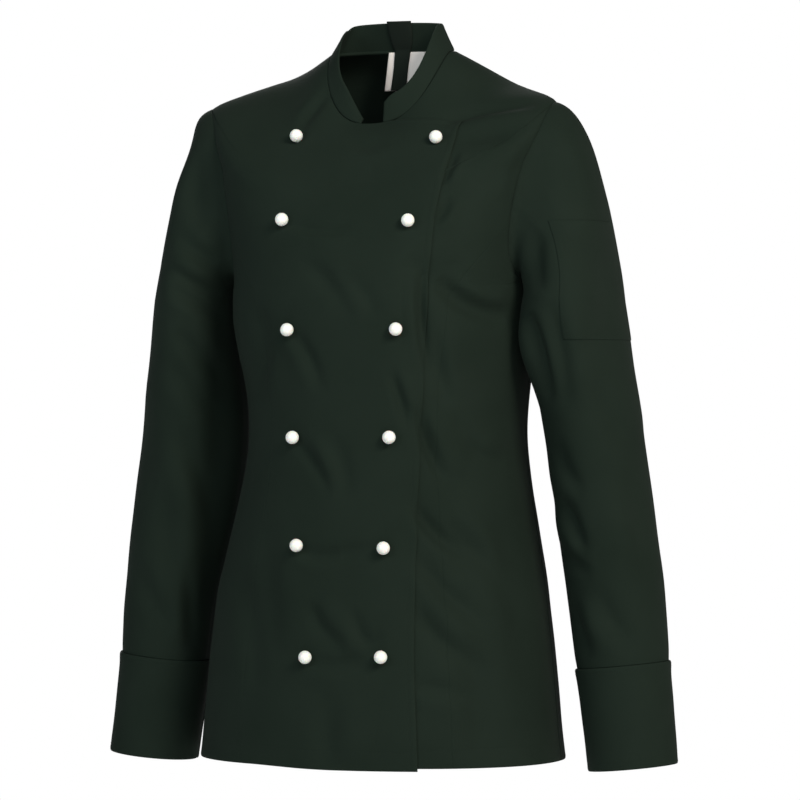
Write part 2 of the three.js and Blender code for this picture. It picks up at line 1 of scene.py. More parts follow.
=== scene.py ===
# Looks of a women's double-breasted chef jacket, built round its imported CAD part.
# Shapes are worked out in millimetres and scaled to metres when a mesh is made.
# The front faces -Y and the wearer's left arm is at +X.

import math

import bmesh
import bpy
import numpy as np
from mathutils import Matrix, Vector


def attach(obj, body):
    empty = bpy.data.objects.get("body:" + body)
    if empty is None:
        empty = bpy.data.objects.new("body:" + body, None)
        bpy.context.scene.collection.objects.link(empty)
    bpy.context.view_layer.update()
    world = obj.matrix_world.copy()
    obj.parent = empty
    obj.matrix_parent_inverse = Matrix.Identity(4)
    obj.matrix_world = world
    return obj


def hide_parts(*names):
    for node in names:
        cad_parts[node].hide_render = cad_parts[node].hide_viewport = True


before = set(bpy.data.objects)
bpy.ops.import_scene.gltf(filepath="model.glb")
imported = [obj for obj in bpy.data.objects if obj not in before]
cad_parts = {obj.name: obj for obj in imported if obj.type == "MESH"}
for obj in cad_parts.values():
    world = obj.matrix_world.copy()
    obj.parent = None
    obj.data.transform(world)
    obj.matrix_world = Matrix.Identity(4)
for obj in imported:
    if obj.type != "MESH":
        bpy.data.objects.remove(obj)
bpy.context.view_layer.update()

MM = 0.001

# Camera, in millimetres: the picture is 800 pixels wide and high
VIEW_AZIMUTH = 18
VIEW_DISTANCE = 4000
VIEW_CENTRE_RIGHT = 12.6
VIEW_CENTRE_Z = -337.6
PIXEL = 0.97
PICTURE_HALF = 400
SENSOR = 36

# Cloth
WALL = 1.3
COLLAR_WALL = 2.0
LAP_DEPTH = 2.2
ROLL_AT_ARMHOLE = 0.7
ROLL_AT_SHOULDER = 0.22
ROLL_AT_COLLAR = 0.4
ROLL_AT_SEAM = 0.4
ROLL_AT_FRONT_SEAM = 0.16
STITCH_GROOVE = 0.12
ROLL_AT_EDGE = 0.5
ALLOWANCE = 3
HEM_STITCH = 18
EDGE_STITCH = 6.5
CREASE_SCALE = 2.8
CALM_AT_ARMHOLE = 24
STITCH_STEP = 3.3
STITCH_HALF = 1.25

# Body rings from the neck seam to the hem, as in the part's source
RING_COLUMNS = [
    "z_front", "z_side", "z_back", "half_width", "x_mid", "y_front", "y_side", "y_back", "power", "closure",
]
RINGS = np.array([
    [-72, 2, 5, 60, 0, -47, 24, 47, 2.8, 0],
    [-98, -22, -18, 105, 0, -76, 45, 71, 2.3, -0.5],
    [-134, -51, -64, 168, 0, -102, 8, 86, 2.2, -1.5],
    [-163, -98, -102, 166, 0, -117, 6, 95, 2.2, -3.5],
    [-194, -148, -152, 158, 0, -127, 6, 97, 2.2, -4],
    [-230, -206, -206, 149.5, 0, -132, 6, 95, 2.2, -3.5],
    [-264, -262, -262, 149, 0, -134, 6, 89, 2.2, -3],
    [-376, -376, -376, 136, 2, -129, 8, 76, 2.2, -4.8],
    [-530, -530, -530, 163, -4, -132, 6, 106, 2.2, -2.5],
    [-683, -683, -683, 179, -5, -136, 4, 126, 2.2, 1],
], float)
HEM_V = len(RINGS) - 1
FRONT_RISE_POWER = 1.4
BACK_RISE_POWER = 1.25

ARMHOLE_TOP_V = 2
ARMHOLE_BOTTOM_V = 5.35
ARMHOLE_HALF_ANGLE = 27
ARMHOLE_POWER = 2.6
FRONT_SEAM_TURN = 108
FRONT_SEAM_HEM_ANGLE = 34.5
FRONT_SEAM_EASE = 0.75

LAP_TOP_Z = -70.5
STUD_TOP_Z = -85
STUD_END_Z = -590
STUD_END_HALF_SPACING = 36.5
STUD_SPREAD = 33
STUD_SPREAD_POWER = 1.25
LAP_MARGIN_TOP = 22
LAP_MARGIN_SLOPE = 0.02
LAP_MARGIN_HIDDEN = 12
LAP_EASE_ANGLE = 32
HEM_SAG = 2.6
SAG_ANGLE = 30

COLLAR_HEIGHT = 26
COLLAR_LEAN = {"front": 6, "side": 12, "back": 12}
COLLAR_END_SHARE = 0.56
COLLAR_END_DROP = {"left": 0.25, "right": 0.85}
COLLAR_DIP = {"angle": 284, "width": 27, "share": 0.22}
COLLAR_END_WIDTH = {"left": 9, "right": 24}
COLLAR_STAND_OFF = 0.3

SLEEVE_COLUMNS = ["z", "x", "y", "half_width", "half_depth", "tilt"]
SLEEVE_RINGS = np.array([
    [-240, 193, 2, 40, 74, 0],
    [-281, 197, 4, 42, 70, 0.01],
    [-338, 202, 7, 46, 62, 0.03],
    [-386, 208, 9, 46.5, 58.5, 0.04],
    [-434, 215, 10, 46.5, 56, 0.05],
    [-487, 222, 11, 46.5, 51, 0.07],
    [-540, 228.5, 11.5, 46, 47, 0.085],
    [-590, 233.5, 11.5, 44.5, 44, 0.1],
    [-687, 245, 6, 42, 42, 0.1],
], float)
CUFF_RING = len(SLEEVE_RINGS) - 2
CUFF_STAND = 0.9
CUFF_DROP = 0.24
CUFF_VENT_TURN = 196
CUFF_VENT_STEP = 1.3
CAP_REACH = (21, 15)
CAP_RISE = (54, 46)
CAP_HEAD = np.array([0.97, 0, -0.24])
CAP_LEAN_IN = 17
CAP_LEAVE_LEVEL = 0.45

# Largest folds of the front, as in the part's source
FOLD_COLUMNS = ["x0", "z0", "x1", "z1", "width", "depth"]
FRONT_FOLDS = [
    [82, -222, 135, -258, 16, 5],
    [66, -212, 78, -310, 12, 3],
    [75, -352, 100, -414, 14, 3],
    [70, -440, 108, -490, 16, 3.5],
    [92, -80, 150, -62, 11, 3],
]

# The two shoulders aren't alike: soft shifts round a place on each, as in the part's source
SHIFT_COLUMNS = ["x", "y", "z", "across", "up", "reach"]
SHOULDER_SHIFTS = [
    [-172, 8, -62, -15, 0, 30],
    [-118, 25, -28, -2, 3.5, 42],
    [122, 25, -30, 0, -4, 42],
]

# Creases seen in the picture: pixel places of three points along each, width in pixels and
# depth in mm. A trough has a positive depth, and its ridge lies on the side that lean names.
CREASE_COLUMNS = ["u0", "w0", "u1", "w1", "u2", "w2", "width", "depth", "lean"]
FRONT_CREASES = [
    [440, 128, 480, 112, 560, 100, 6, 1.7, 1],
    [455, 140, 500, 132, 548, 118, 8, 1.2, -1],
    [530, 150, 522, 175, 510, 205, 7, 1.3, 1],
    [458, 148, 449, 168, 443, 184, 4.5, 1.5, -1],
    [450, 196, 443, 212, 434, 222, 5, 1.3, -1],
    [438, 278, 466, 303, 508, 316, 9, 3.2, -1],
    [446, 262, 470, 282, 500, 292, 9, 1.0, 1],
    [424, 270, 421, 318, 430, 372, 5.5, 2.0, 1],
    [438, 330, 440, 372, 452, 405, 8, 1.3, -1],
    [390, 372, 400, 398, 408, 428, 5.5, 1.6, -1],
    [417, 408, 428, 444, 446, 482, 6.5, 2.2, -1],
    [452, 410, 466, 440, 480, 462, 9, 1.2, 1],
    [470, 440, 484, 456, 506, 462, 8, 1.3, -1],
    [416, 505, 434, 532, 470, 556, 7, 2.2, 1],
    [446, 520, 476, 552, 510, 600, 9, 1.5, -1],
    [418, 556, 444, 590, 492, 628, 9, 1.9, 1],
    [416, 606, 440, 640, 486, 672, 9, 1.7, -1],
    [414, 688, 440, 690, 478, 702, 8, 1.5, 1],
    [330, 92, 312, 112, 299, 130, 5, 1.3, 1],
    [348, 136, 366, 146, 388, 138, 6, 0.8, 1],
    [285, 222, 320, 230, 352, 226, 6, 0.9, 1],
    [300, 262, 330, 285, 352, 322, 10, 1.1, -1],
    [340, 268, 362, 292, 378, 318, 9, 0.9, 1],
    [290, 332, 306, 352, 322, 392, 7, 1.3, 1],
    [268, 350, 262, 372, 258, 404, 7, 1.1, -1],
    [294, 440, 314, 462, 328, 494, 6.5, 1.6, -1],
    [330, 430, 342, 466, 346, 500, 10, 0.9, 1],
    [298, 546, 316, 556, 338, 550, 6, 1.4, 1],
    [322, 560, 350, 552, 380, 550, 7, 1.0, -1],
    [308, 600, 322, 628, 346, 650, 8, 1.5, -1],
    [350, 606, 366, 640, 384, 632, 7, 1.3, 1],
    [306, 660, 336, 664, 372, 658, 7, 1.2, 1],
    [236, 560, 250, 620, 256, 700, 12, 1.3, 1],
    [272, 520, 268, 580, 276, 660, 12, 1.0, -1],
    [500, 520, 516, 600, 528, 700, 14, 1.4, 1],
    [470, 640, 478, 700, 482, 765, 16, 1.6, 1],
    [330, 690, 326, 730, 330, 768, 14, 1.2, -1],
    [248, 300, 262, 330, 262, 372, 9, 1.1, 1],
]
LEFT_SLEEVE_CREASES = [
    [526, 312, 537, 352, 550, 404, 7, 3.4, 1],
    [548, 300, 560, 350, 566, 410, 10, 1.6, -1],
    [562, 498, 572, 522, 586, 556, 6.5, 2.4, 1],
    [560, 540, 572, 560, 592, 574, 7, 1.3, -1],
    [556, 440, 566, 470, 584, 492, 8, 1.3, 1],
    [598, 380, 612, 420, 636, 446, 12, 1.2, -1],
    [600, 250, 606, 300, 604, 350, 14, 1.0, 1],
    [540, 230, 536, 262, 540, 292, 8, 1.5, 1],
    [556, 150, 570, 180, 580, 222, 12, 1.2, -1],
    [600, 590, 612, 620, 634, 644, 10, 1.2, 1],
    [572, 600, 580, 630, 590, 656, 7, 1.4, -1],
    [626, 470, 640, 520, 646, 580, 12, 1.1, 1],
]
RIGHT_SLEEVE_CREASES = [
    [162, 262, 188, 280, 222, 296, 7, 2.0, -1],
    [168, 288, 192, 300, 226, 318, 7, 1.7, 1],
    [176, 230, 196, 250, 218, 262, 8, 1.3, -1],
    [176, 330, 196, 352, 226, 376, 9, 1.8, -1],
    [170, 362, 192, 392, 222, 414, 10, 1.3, 1],
    [200, 150, 196, 190, 204, 230, 10, 1.4, 1],
    [182, 430, 196, 470, 214, 520, 11, 1.6, 1],
    [160, 480, 168, 540, 176, 610, 12, 1.2, -1],
    [140, 400, 146, 460, 140, 530, 12, 1.0, 1],
    [136, 560, 152, 600, 176, 626, 10, 1.1, -1],
    [186, 560, 190, 610, 190, 650, 8, 1.5, 1],
    [228, 296, 216, 500, 205, 700, 16, 2.0, 1],
]
# Creases of the back, in mm across (x) and up (z), seen from behind
BACK_CREASE_COLUMNS = ["x0", "z0", "x1", "z1", "x2", "z2", "width", "depth", "lean"]
BACK_CREASES = [
    [-120, -120, -60, -104, 0, -110, 15, 1.6, 1],
    [30, -84, 76, -96, 128, -122, 14, 1.5, -1],
    [-128, -240, -96, -292, -84, -352, 16, 2.2, 1],
    [126, -250, 98, -300, 80, -350, 15, 2.0, -1],
    [-100, -372, -52, -386, -8, -380, 10, 2.0, 1],
    [12, -392, 58, -384, 104, -366, 10, 1.8, -1],
    [-92, -402, -40, -420, 20, -408, 12, 1.5, 1],
    [-70, -430, -84, -520, -104, -640, 20, 2.4, 1],
    [58, -426, 72, -530, 96, -650, 20, 2.2, -1],
    [-6, -440, -2, -540, 8, -660, 24, 1.7, 1],
    [-40, -180, -22, -250, -26, -330, 26, 1.2, 1],
    [52, -190, 40, -250, 46, -320, 24, 1.1, -1],
]
# Creases of the sleeves' hidden sides, in degrees round (turn) and mm down (z)
HIDDEN_CREASE_COLUMNS = ["t0", "z0", "t1", "z1", "t2", "z2", "width", "depth", "lean"]
HIDDEN_SLEEVE_CREASES = [
    [236, -236, 258, -262, 286, -270, 11, 1.8, 1],
    [232, -290, 262, -306, 296, -300, 12, 1.5, -1],
    [238, -350, 262, -376, 300, -384, 11, 2.0, 1],
    [228, -402, 256, -414, 288, -404, 10, 1.8, -1],
    [232, -446, 262, -462, 300, -452, 12, 1.4, 1],
    [246, -500, 262, -560, 256, -584, 14, 1.2, -1],
    [290, -150, 300, -200, 296, -240, 16, 1.2, 1],
]

# Ball studs
STUD_ROWS = [
    {"right": -87, "left": -92},
    {"right": -167.5, "left": -170.5},
    {"right": -270, "left": -271},
    {"right": -374, "left": -374},
    {"right": -477, "left": -476},
    {"right": -580, "left": -578.5},
]
STUD_NUDGES = [
    {"right": (0, 0), "left": (3.4, -0.5)},
    {"right": (0.6, 0), "left": (0, 0)},
    {"right": (2.6, -1), "left": (-1.5, 0)},
    {"right": (0.6, 1), "left": (0, 1.5)},
    {"right": (-1, 2), "left": (0.6, -0.5)},
    {"right": (2, 0), "left": (2, 0)},
]
STUD_RADIUS = 6.3
STUD_CENTRE = 5.6
DIMPLE_DEPTH = 1.3
DIMPLE_REACH = 9

# Hanger loop, on the collar and hanging below its seam, and the bare label
LOOP_ON_COLLAR = [(1.09, 11.5), (0.6, 11.2), (0.25, 10), (0.05, 8.4)]
LOOP_SPREAD = 0.52
LOOP_SHIFT = 2
LOOP_BELOW = [(2, 8), (14, 7.5), (27, 7.6), (38, 8)]
LABEL_X = (-12.5, 31)
LABEL_DROPS = (1, 39)
LABEL_WALL = 0.5
TRIM_GAP = 0.4
TRIM_WALL = 1.0
HANG_SWAY = 0.05
HANG_SLANT = 0.1

# Pen pocket on the wearer's left sleeve: in degrees round the sleeve, and up it
POCKET_TOP_Z = -168
POCKET_BACK_TURN = -36
POCKET_FRONT_TURN = 84
POCKET_FRONT_EASE = 6
POCKET_WIDTH = 120
POCKET_LENGTH = 113
POCKET_STAND = 0.85
POCKET_HEM = 22

FLOOR_Z = -1.42
WORLD_COLOUR = (1, 1, 1, 1)
WORLD_STRENGTH = 1.0
WORLD_LIGHT = 0.14


# Table values and the body's shape, as in the part's source

def table_value(rows, column, at):
    last = len(rows) - 1
    low = np.clip(np.floor(at).astype(int), 0, last - 1)
    t = at - low
    values = rows[:, column]
    b = values[low]
    c = values[low + 1]
    a = np.where(low > 0, values[np.maximum(low - 1, 0)], 2 * b - c)
    d = np.where(low + 2 <= last, values[np.minimum(low + 2, last)], 2 * c - b)
    slope = (c - a) / 2
    curve = a - 2.5 * b + 2 * c - d / 2
    twist = (d - a) / 2 + 1.5 * (b - c)
    return b + t * (slope + t * (curve + t * twist))


def table_row(rows, names, at):
    at = np.asarray(at, float)
    return {name: table_value(rows, column, at) for column, name in enumerate(names)}


def body_ring(v):
    return table_row(RINGS, RING_COLUMNS, v)


def smooth_step(t):
    s = np.clip(t, 0, 1)
    return s * s * (3 - 2 * s)


def unit(vectors):
    return vectors / np.maximum(np.linalg.norm(vectors, axis=-1, keepdims=True), 1e-9)


def fold_depth(x, z):
    depth = np.zeros_like(x)
    for x0, z0, x1, z1, width, deep in FRONT_FOLDS:
        run_x, run_z = x1 - x0, z1 - z0
        t = np.clip(((x - x0) * run_x + (z - z0) * run_z) / (run_x ** 2 + run_z ** 2), 0, 1)
        away = np.hypot(x - x0 - t * run_x, z - z0 - t * run_z) / width
        depth += deep * np.exp(-away * away)
    return depth


def body_point(angle, v):
    angle, v = np.broadcast_arrays(np.asarray(angle, float), np.asarray(v, float))
    ring = body_ring(v)
    sine, cosine = np.sin(np.radians(angle)), np.cos(np.radians(angle))
    squash = 2 / ring["power"]
    x = ring["x_mid"] + ring["half_width"] * np.sign(sine) * np.abs(sine) ** squash
    front = cosine > 0
    y_end = np.where(front, ring["y_front"], ring["y_back"])
    z_end = np.where(front, ring["z_front"], ring["z_back"])
    rise = np.where(front, FRONT_RISE_POWER, BACK_RISE_POWER)
    y = ring["y_side"] + (y_end - ring["y_side"]) * np.abs(cosine) ** squash
    z = ring["z_side"] + (z_end - ring["z_side"]) * np.abs(cosine) ** rise
    inward = unit(np.stack([ring["x_mid"] - x, ring["y_side"] - y, np.zeros_like(x)], -1))
    depth = np.where(front, fold_depth(x, z) * smooth_step(3 * cosine), 0)
    return np.stack([x, y, z], -1) + inward * depth[..., None]


def body_normal(angle, v):
    angle, v = np.broadcast_arrays(np.asarray(angle, float), np.asarray(v, float))
    round_it = body_point(angle + 0.5, v) - body_point(angle - 0.5, v)
    down = body_point(angle, np.minimum(v + 0.02, HEM_V)) - body_point(angle, np.maximum(v - 0.02, 0))
    return unit(np.cross(down, round_it))


def angle_across(x, v):
    ring = body_ring(v)
    share = np.minimum(np.abs(x - ring["x_mid"]) / ring["half_width"], 1)
    return np.degrees(np.sign(x - ring["x_mid"]) * np.arcsin(share ** (ring["power"] / 2)))


def stud_half_spacing(z):
    share = np.maximum((z - STUD_END_Z) / (STUD_TOP_Z - STUD_END_Z), 0)
    return STUD_END_HALF_SPACING + STUD_SPREAD * share ** STUD_SPREAD_POWER


def lap_side_angle(v, side):
    ring = body_ring(v)
    z = ring["z_front"]
    for _ in range(6):
        shown = LAP_MARGIN_TOP + LAP_MARGIN_SLOPE * (STUD_TOP_Z - z)
        margin = shown if side > 0 else LAP_MARGIN_HIDDEN
        angle = angle_across(ring["closure"] + side * (stud_half_spacing(z) + margin), v)
        z = body_point(angle, v)[..., 2]
    return angle


def lap_top_angle(v, side):
    ring = body_ring(v)
    rise = ring["z_front"] - ring["z_side"]
    share = (LAP_TOP_Z - ring["z_side"]) / np.where(np.abs(rise) < 1e-6, -1e-6, rise)
    return side * np.degrees(np.arccos(np.clip(share, 0, 1) ** (1 / FRONT_RISE_POWER)))


def lap_corner_v(side):
    low, high = 0.0, float(ARMHOLE_TOP_V)
    for _ in range(30):
        middle = np.array((low + high) / 2)
        if abs(lap_top_angle(middle, side)) < abs(lap_side_angle(middle, side)):
            low = float(middle)
        else:
            high = float(middle)
    return low


LAP_CORNER = {1: lap_corner_v(1), -1: lap_corner_v(-1)}


def lap_angle(v, side):
    return np.where(v < LAP_CORNER[side], lap_top_angle(v, side), lap_side_angle(v, side))


def armhole_half_angle(u):
    return ARMHOLE_HALF_ANGLE * np.maximum(1 - np.abs(u) ** ARMHOLE_POWER, 0) ** (1 / ARMHOLE_POWER)


ARMHOLE_MIDDLE = (ARMHOLE_TOP_V + ARMHOLE_BOTTOM_V) / 2
ARMHOLE_HALF = (ARMHOLE_BOTTOM_V - ARMHOLE_TOP_V) / 2


def armhole_roll(v):
    """The armhole's seam is nearly flat at the shoulder and deeper from the chest down."""
    return ROLL_AT_SHOULDER + (ROLL_AT_ARMHOLE - ROLL_AT_SHOULDER) * smooth_step((v - 2.8) / 1.2)


def armhole_place(turn):
    u = -np.cos(np.radians(turn))
    side = np.where(np.sin(np.radians(turn)) >= 0, -1, 1)
    return 90 + side * armhole_half_angle(u), ARMHOLE_MIDDLE + ARMHOLE_HALF * u


def side_angle(v, is_back):
    width = armhole_half_angle(np.clip((v - ARMHOLE_MIDDLE) / ARMHOLE_HALF, -1, 1))
    inside = (v > ARMHOLE_TOP_V) & (v < ARMHOLE_BOTTOM_V)
    return np.where(inside, 90 + width if is_back else 90 - width, 90)


FRONT_SEAM_V = float(armhole_place(np.array(float(FRONT_SEAM_TURN)))[1])
FRONT_SEAM_START = float(side_angle(np.array(FRONT_SEAM_V), False)) - FRONT_SEAM_HEM_ANGLE


def front_seam_angle(v):
    return FRONT_SEAM_HEM_ANGLE + FRONT_SEAM_START * np.exp((FRONT_SEAM_V - v) / FRONT_SEAM_EASE)


def ring_at_height(x, z):
    low, high = 0.0, float(HEM_V)
    for _ in range(30):
        middle = np.array((low + high) / 2)
        if body_point(angle_across(x, middle), middle)[2] > z:
            low = float(middle)
        else:
            high = float(middle)
    return np.array(low)


# The picture's pixels, and the relief laid on the cloth

def turned(azimuth):
    a = math.radians(azimuth)
    return np.array([math.cos(a), math.sin(a), 0]), np.array([math.sin(a), -math.cos(a), 0])


VIEW_RIGHT, VIEW_BACK = turned(VIEW_AZIMUTH)


def in_picture(points):
    scale = VIEW_DISTANCE / (VIEW_DISTANCE - points @ VIEW_BACK)
    u = PICTURE_HALF + (points @ VIEW_RIGHT - VIEW_CENTRE_RIGHT) * scale / PIXEL
    w = PICTURE_HALF - (points[..., 2] - VIEW_CENTRE_Z) * scale / PIXEL
    return u, w


def crease_relief(u, w, creases):
    """Height of the cloth in mm at the places (u, w): each crease is a trough with a ridge beside it."""
    relief = np.zeros_like(u)
    for u0, w0, u1, w1, u2, w2, width, depth, lean in creases:
        t = np.linspace(0, 1, 13)
        px = (1 - t) ** 2 * u0 + 2 * t * (1 - t) * (2 * u1 - (u0 + u2) / 2) + t * t * u2
        py = (1 - t) ** 2 * w0 + 2 * t * (1 - t) * (2 * w1 - (w0 + w2) / 2) + t * t * w2
        reach = 3.2 * width
        near = (u > px.min() - reach) & (u < px.max() + reach)
        near &= (w > py.min() - reach) & (w < py.max() + reach)
        if not near.any():
            continue
        a, b = u[near], w[near]
        best = np.full(a.shape, 1e9)
        across = np.zeros(a.shape)
        place = np.zeros(a.shape)
        for i in range(len(t) - 1):
            rx, ry = px[i + 1] - px[i], py[i + 1] - py[i]
            long2 = rx * rx + ry * ry + 1e-9
            s = np.clip(((a - px[i]) * rx + (b - py[i]) * ry) / long2, 0, 1)
            ex, ey = a - px[i] - s * rx, b - py[i] - s * ry
            far = np.hypot(ex, ey)
            closer = far < best
            best = np.where(closer, far, best)
            side = np.sign(rx * ey - ry * ex)
            across = np.where(closer, side * far, across)
            place = np.where(closer, (i + s) / (len(t) - 1), place)
        fade = np.clip(np.sin(np.pi * place), 0, 1) ** 0.7
        trough = np.exp(-((across / width) ** 2))
        ridge = np.exp(-(((across - lean * 1.7 * width) / (1.25 * width)) ** 2))
        relief[near] += CREASE_SCALE * depth * fade * (0.5 * ridge - trough)
    return relief


def ripple(a, b, length, seed):
    """Gentle unevenness between about -1 and 1, the same on each run."""
    r = np.random.default_rng(seed)
    total = np.zeros_like(a)
    for _ in range(9):
        heading, phase = r.uniform(0, math.pi), r.uniform(0, 2 * math.pi)
        k = 2 * math.pi / (length * r.uniform(0.6, 1.7))
        total += np.sin(k * (a * math.cos(heading) + b * math.sin(heading)) + phase)
    return total / 5


def front_relief(points):
    u, w = in_picture(points)
    return crease_relief(u, w, FRONT_CREASES)


def back_relief(points):
    return crease_relief(points[..., 0].copy(), points[..., 2].copy(), BACK_CREASES)


def stud_places():
    """Places of the studs across and up, in mm, with their names."""
    places = []
    for row, heights in enumerate(STUD_ROWS):
        closure = float(body_ring(ring_at_height(0, heights["right"]))["closure"])
        for word, side in (("right", -1), ("left", 1)):
            across, up = STUD_NUDGES[row][word]
            x = closure + side * float(stud_half_spacing(heights[word])) + across
            places.append((f"stud_{word}_{row + 1}", x, heights[word] + up))
    return places


def dimples(points):
    """The cloth is drawn in a little under each stud."""
    depth = np.zeros(points.shape[:-1])
    for _, x, z in STUD_PLACES:
        away = np.hypot(points[..., 0] - x, points[..., 2] - z) / DIMPLE_REACH
        depth -= DIMPLE_DEPTH * np.exp(-away * away)
    return depth


def away_from_armholes(points):
    """0 at both armholes and 1 clear of them, so the creases leave the seams of the sleeves closed."""
    angle, v = armhole_place(np.arange(0, 360, 4.0))
    nearest = np.full(points.shape[:-1], 1e9)
    for place in np.concatenate([body_point(angle, v), body_point(-angle, v)]):
        nearest = np.minimum(nearest, np.linalg.norm(points - place, axis=-1))
    return smooth_step(nearest / CALM_AT_ARMHOLE)


def body_relief(points, angle):
    front = np.clip(np.cos(np.radians(angle)) * 4, 0, 1)
    back = np.clip(-np.cos(np.radians(angle)) * 4, 0, 1)
    gentle = 0.45 * ripple(points[..., 0] + 0.6 * points[..., 1], points[..., 2], 85, 3)
    creased = front * front_relief(points) + back * back_relief(points) + gentle
    return away_from_armholes(points) * creased + front * dimples(points)


def seam_relief(distance, roll, stitch=None):
    """Height near a seam: the cloth turns in at the seam and a topstitch presses a groove."""
    relief = -roll * np.clip(1 - distance / 2.2, 0, 1) ** 2
    relief += 0.25 * roll * np.exp(-(((distance - 3.4) / 1.6) ** 2))
    if stitch is not None:
        relief -= STITCH_GROOVE * np.exp(-(((distance - stitch) / 1.0) ** 2))
    return relief


STUD_PLACES = stud_places()


# Meshes

def on_shoulders(points):
    moved = np.array(points, float)
    for x, y, z, across, up, reach in SHOULDER_SHIFTS:
        away = np.linalg.norm(points - np.array([x, y, z]), axis=-1) / reach
        share = np.exp(-away * away)
        moved[..., 0] += across * share
        moved[..., 2] += up * share
    return moved


def add_mesh(name, points, faces, uv=None, smooth=True):
    mesh = bpy.data.meshes.new(name)
    mesh.from_pydata((on_shoulders(np.asarray(points)) * MM).tolist(), [], faces)
    if uv is not None:
        layer = mesh.uv_layers.new(name="UVMap")
        corner = np.zeros(len(mesh.loops), np.int32)
        mesh.loops.foreach_get("vertex_index", corner)
        layer.data.foreach_set("uv", (np.asarray(uv)[corner] * MM).astype(np.float32).ravel())
    mesh.polygons.foreach_set("use_smooth", [smooth] * len(mesh.polygons))
    mesh.validate()
    piece = bpy.data.objects.new(name, mesh)
    bpy.context.scene.collection.objects.link(piece)
    return piece


def signed_volume(points, faces):
    quads = np.array(faces)
    a, b, c, d = (points[quads[:, i]] for i in range(4))
    return (a * np.cross(b, c)).sum() + (a * np.cross(c, d)).sum()


def shell(name, outer, inner, wraps=False):
    """A closed thin shell from matching outer and inner grids of points."""
    rows, columns = outer.shape[:2]
    index = np.arange(2 * rows * columns).reshape(2, rows, columns)
    if wraps:
        index = np.concatenate([index, index[:, :, :1]], axis=2)
    o, i = index

    def quads(a, b, c, d):
        return np.stack([a.ravel(), b.ravel(), c.ravel(), d.ravel()], 1)

    parts = [
        quads(o[:-1, :-1], o[1:, :-1], o[1:, 1:], o[:-1, 1:]),
        quads(i[:-1, :-1], i[:-1, 1:], i[1:, 1:], i[1:, :-1]),
        quads(o[0, :-1], o[0, 1:], i[0, 1:], i[0, :-1]),
        quads(o[-1, :-1], i[-1, :-1], i[-1, 1:], o[-1, 1:]),
    ]
    if not wraps:
        parts.append(quads(o[:-1, 0], i[:-1, 0], i[1:, 0], o[1:, 0]))
        parts.append(quads(o[:-1, -1], o[1:, -1], i[1:, -1], i[:-1, -1]))
    faces = np.concatenate(parts)
    points = np.concatenate([outer.reshape(-1, 3), inner.reshape(-1, 3)])
    if signed_volume(points, faces) < 0:
        faces = faces[:, ::-1]
    flat = flat_places(outer, wraps)
    return add_mesh(name, points, faces.tolist(), np.concatenate([flat, flat]))


def flat_places(grid, wraps=False):
    """Millimetres along the rows and down the columns, for the weave."""
    along = np.zeros(grid.shape[:2])
    along[:, 1:] = np.cumsum(np.linalg.norm(np.diff(grid, axis=1), axis=2), axis=1)
    along -= along[:, along.shape[1] // 2][:, None]
    down = np.zeros(grid.shape[:2])
    down[1:] = np.cumsum(np.linalg.norm(np.diff(grid, axis=0), axis=2), axis=0)
    down = np.broadcast_to(down.mean(axis=1, keepdims=True), down.shape)
    return np.stack([along, down], -1).reshape(-1, 2)


def stitches(name, runs):
    """Sewing thread: a short raised bar for each stitch along each run of (points, normals)."""
    points, faces = [], []
    for line, normals in runs:
        along = np.concatenate([[0], np.cumsum(np.linalg.norm(np.diff(line, axis=0), axis=1))])
        places = np.arange(STITCH_STEP / 2, along[-1], STITCH_STEP)
        at = [np.stack([np.interp(places + shift, along, line[:, k]) for k in range(3)], 1)
              for shift in (-STITCH_HALF, 0, STITCH_HALF)]
        up = unit(np.stack([np.interp(places, along, normals[:, k]) for k in range(3)], 1))
        aside = unit(np.cross(at[2] - at[0], up)) * 0.24
        for first, middle, last, n, b in zip(*at, up, aside):
            base = len(points)
            points += [
                first - n * 0.12, middle - b - n * 0.1, middle + b - n * 0.1,
                last - n * 0.12, middle - b * 0.6 + n * 0.26, middle + b * 0.6 + n * 0.26,
            ]
            faces += [
                (base, base + 1, base + 4), (base, base + 4, base + 5), (base, base + 5, base + 2),
                (base + 3, base + 4, base + 1), (base + 3, base + 5, base + 4), (base + 3, base + 2, base + 5),
                (base, base + 2, base + 3, base + 1),
            ]
    piece = add_mesh(name, np.array(points), faces)
    piece.data.materials.append(MATERIALS["thread"])
    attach(piece, "root")
    return piece


# Materials

def new_material(name):
    material = bpy.data.materials.new(name)
    material.use_nodes = True
    tree = material.node_tree
    shader = tree.nodes["Principled BSDF"]
    return material, tree, shader


def node(tree, kind, **values):
    made = tree.nodes.new(kind)
    for key, value in values.items():
        if hasattr(made, key) and key not in made.inputs:
            setattr(made, key, value)
        else:
            made.inputs[key].default_value = value
    return made


TWILL_DARK = (0.0070, 0.0128, 0.0092, 1)
TWILL_LIGHT = (0.0118, 0.0192, 0.0146, 1)
TWILL_PITCH = 0.9


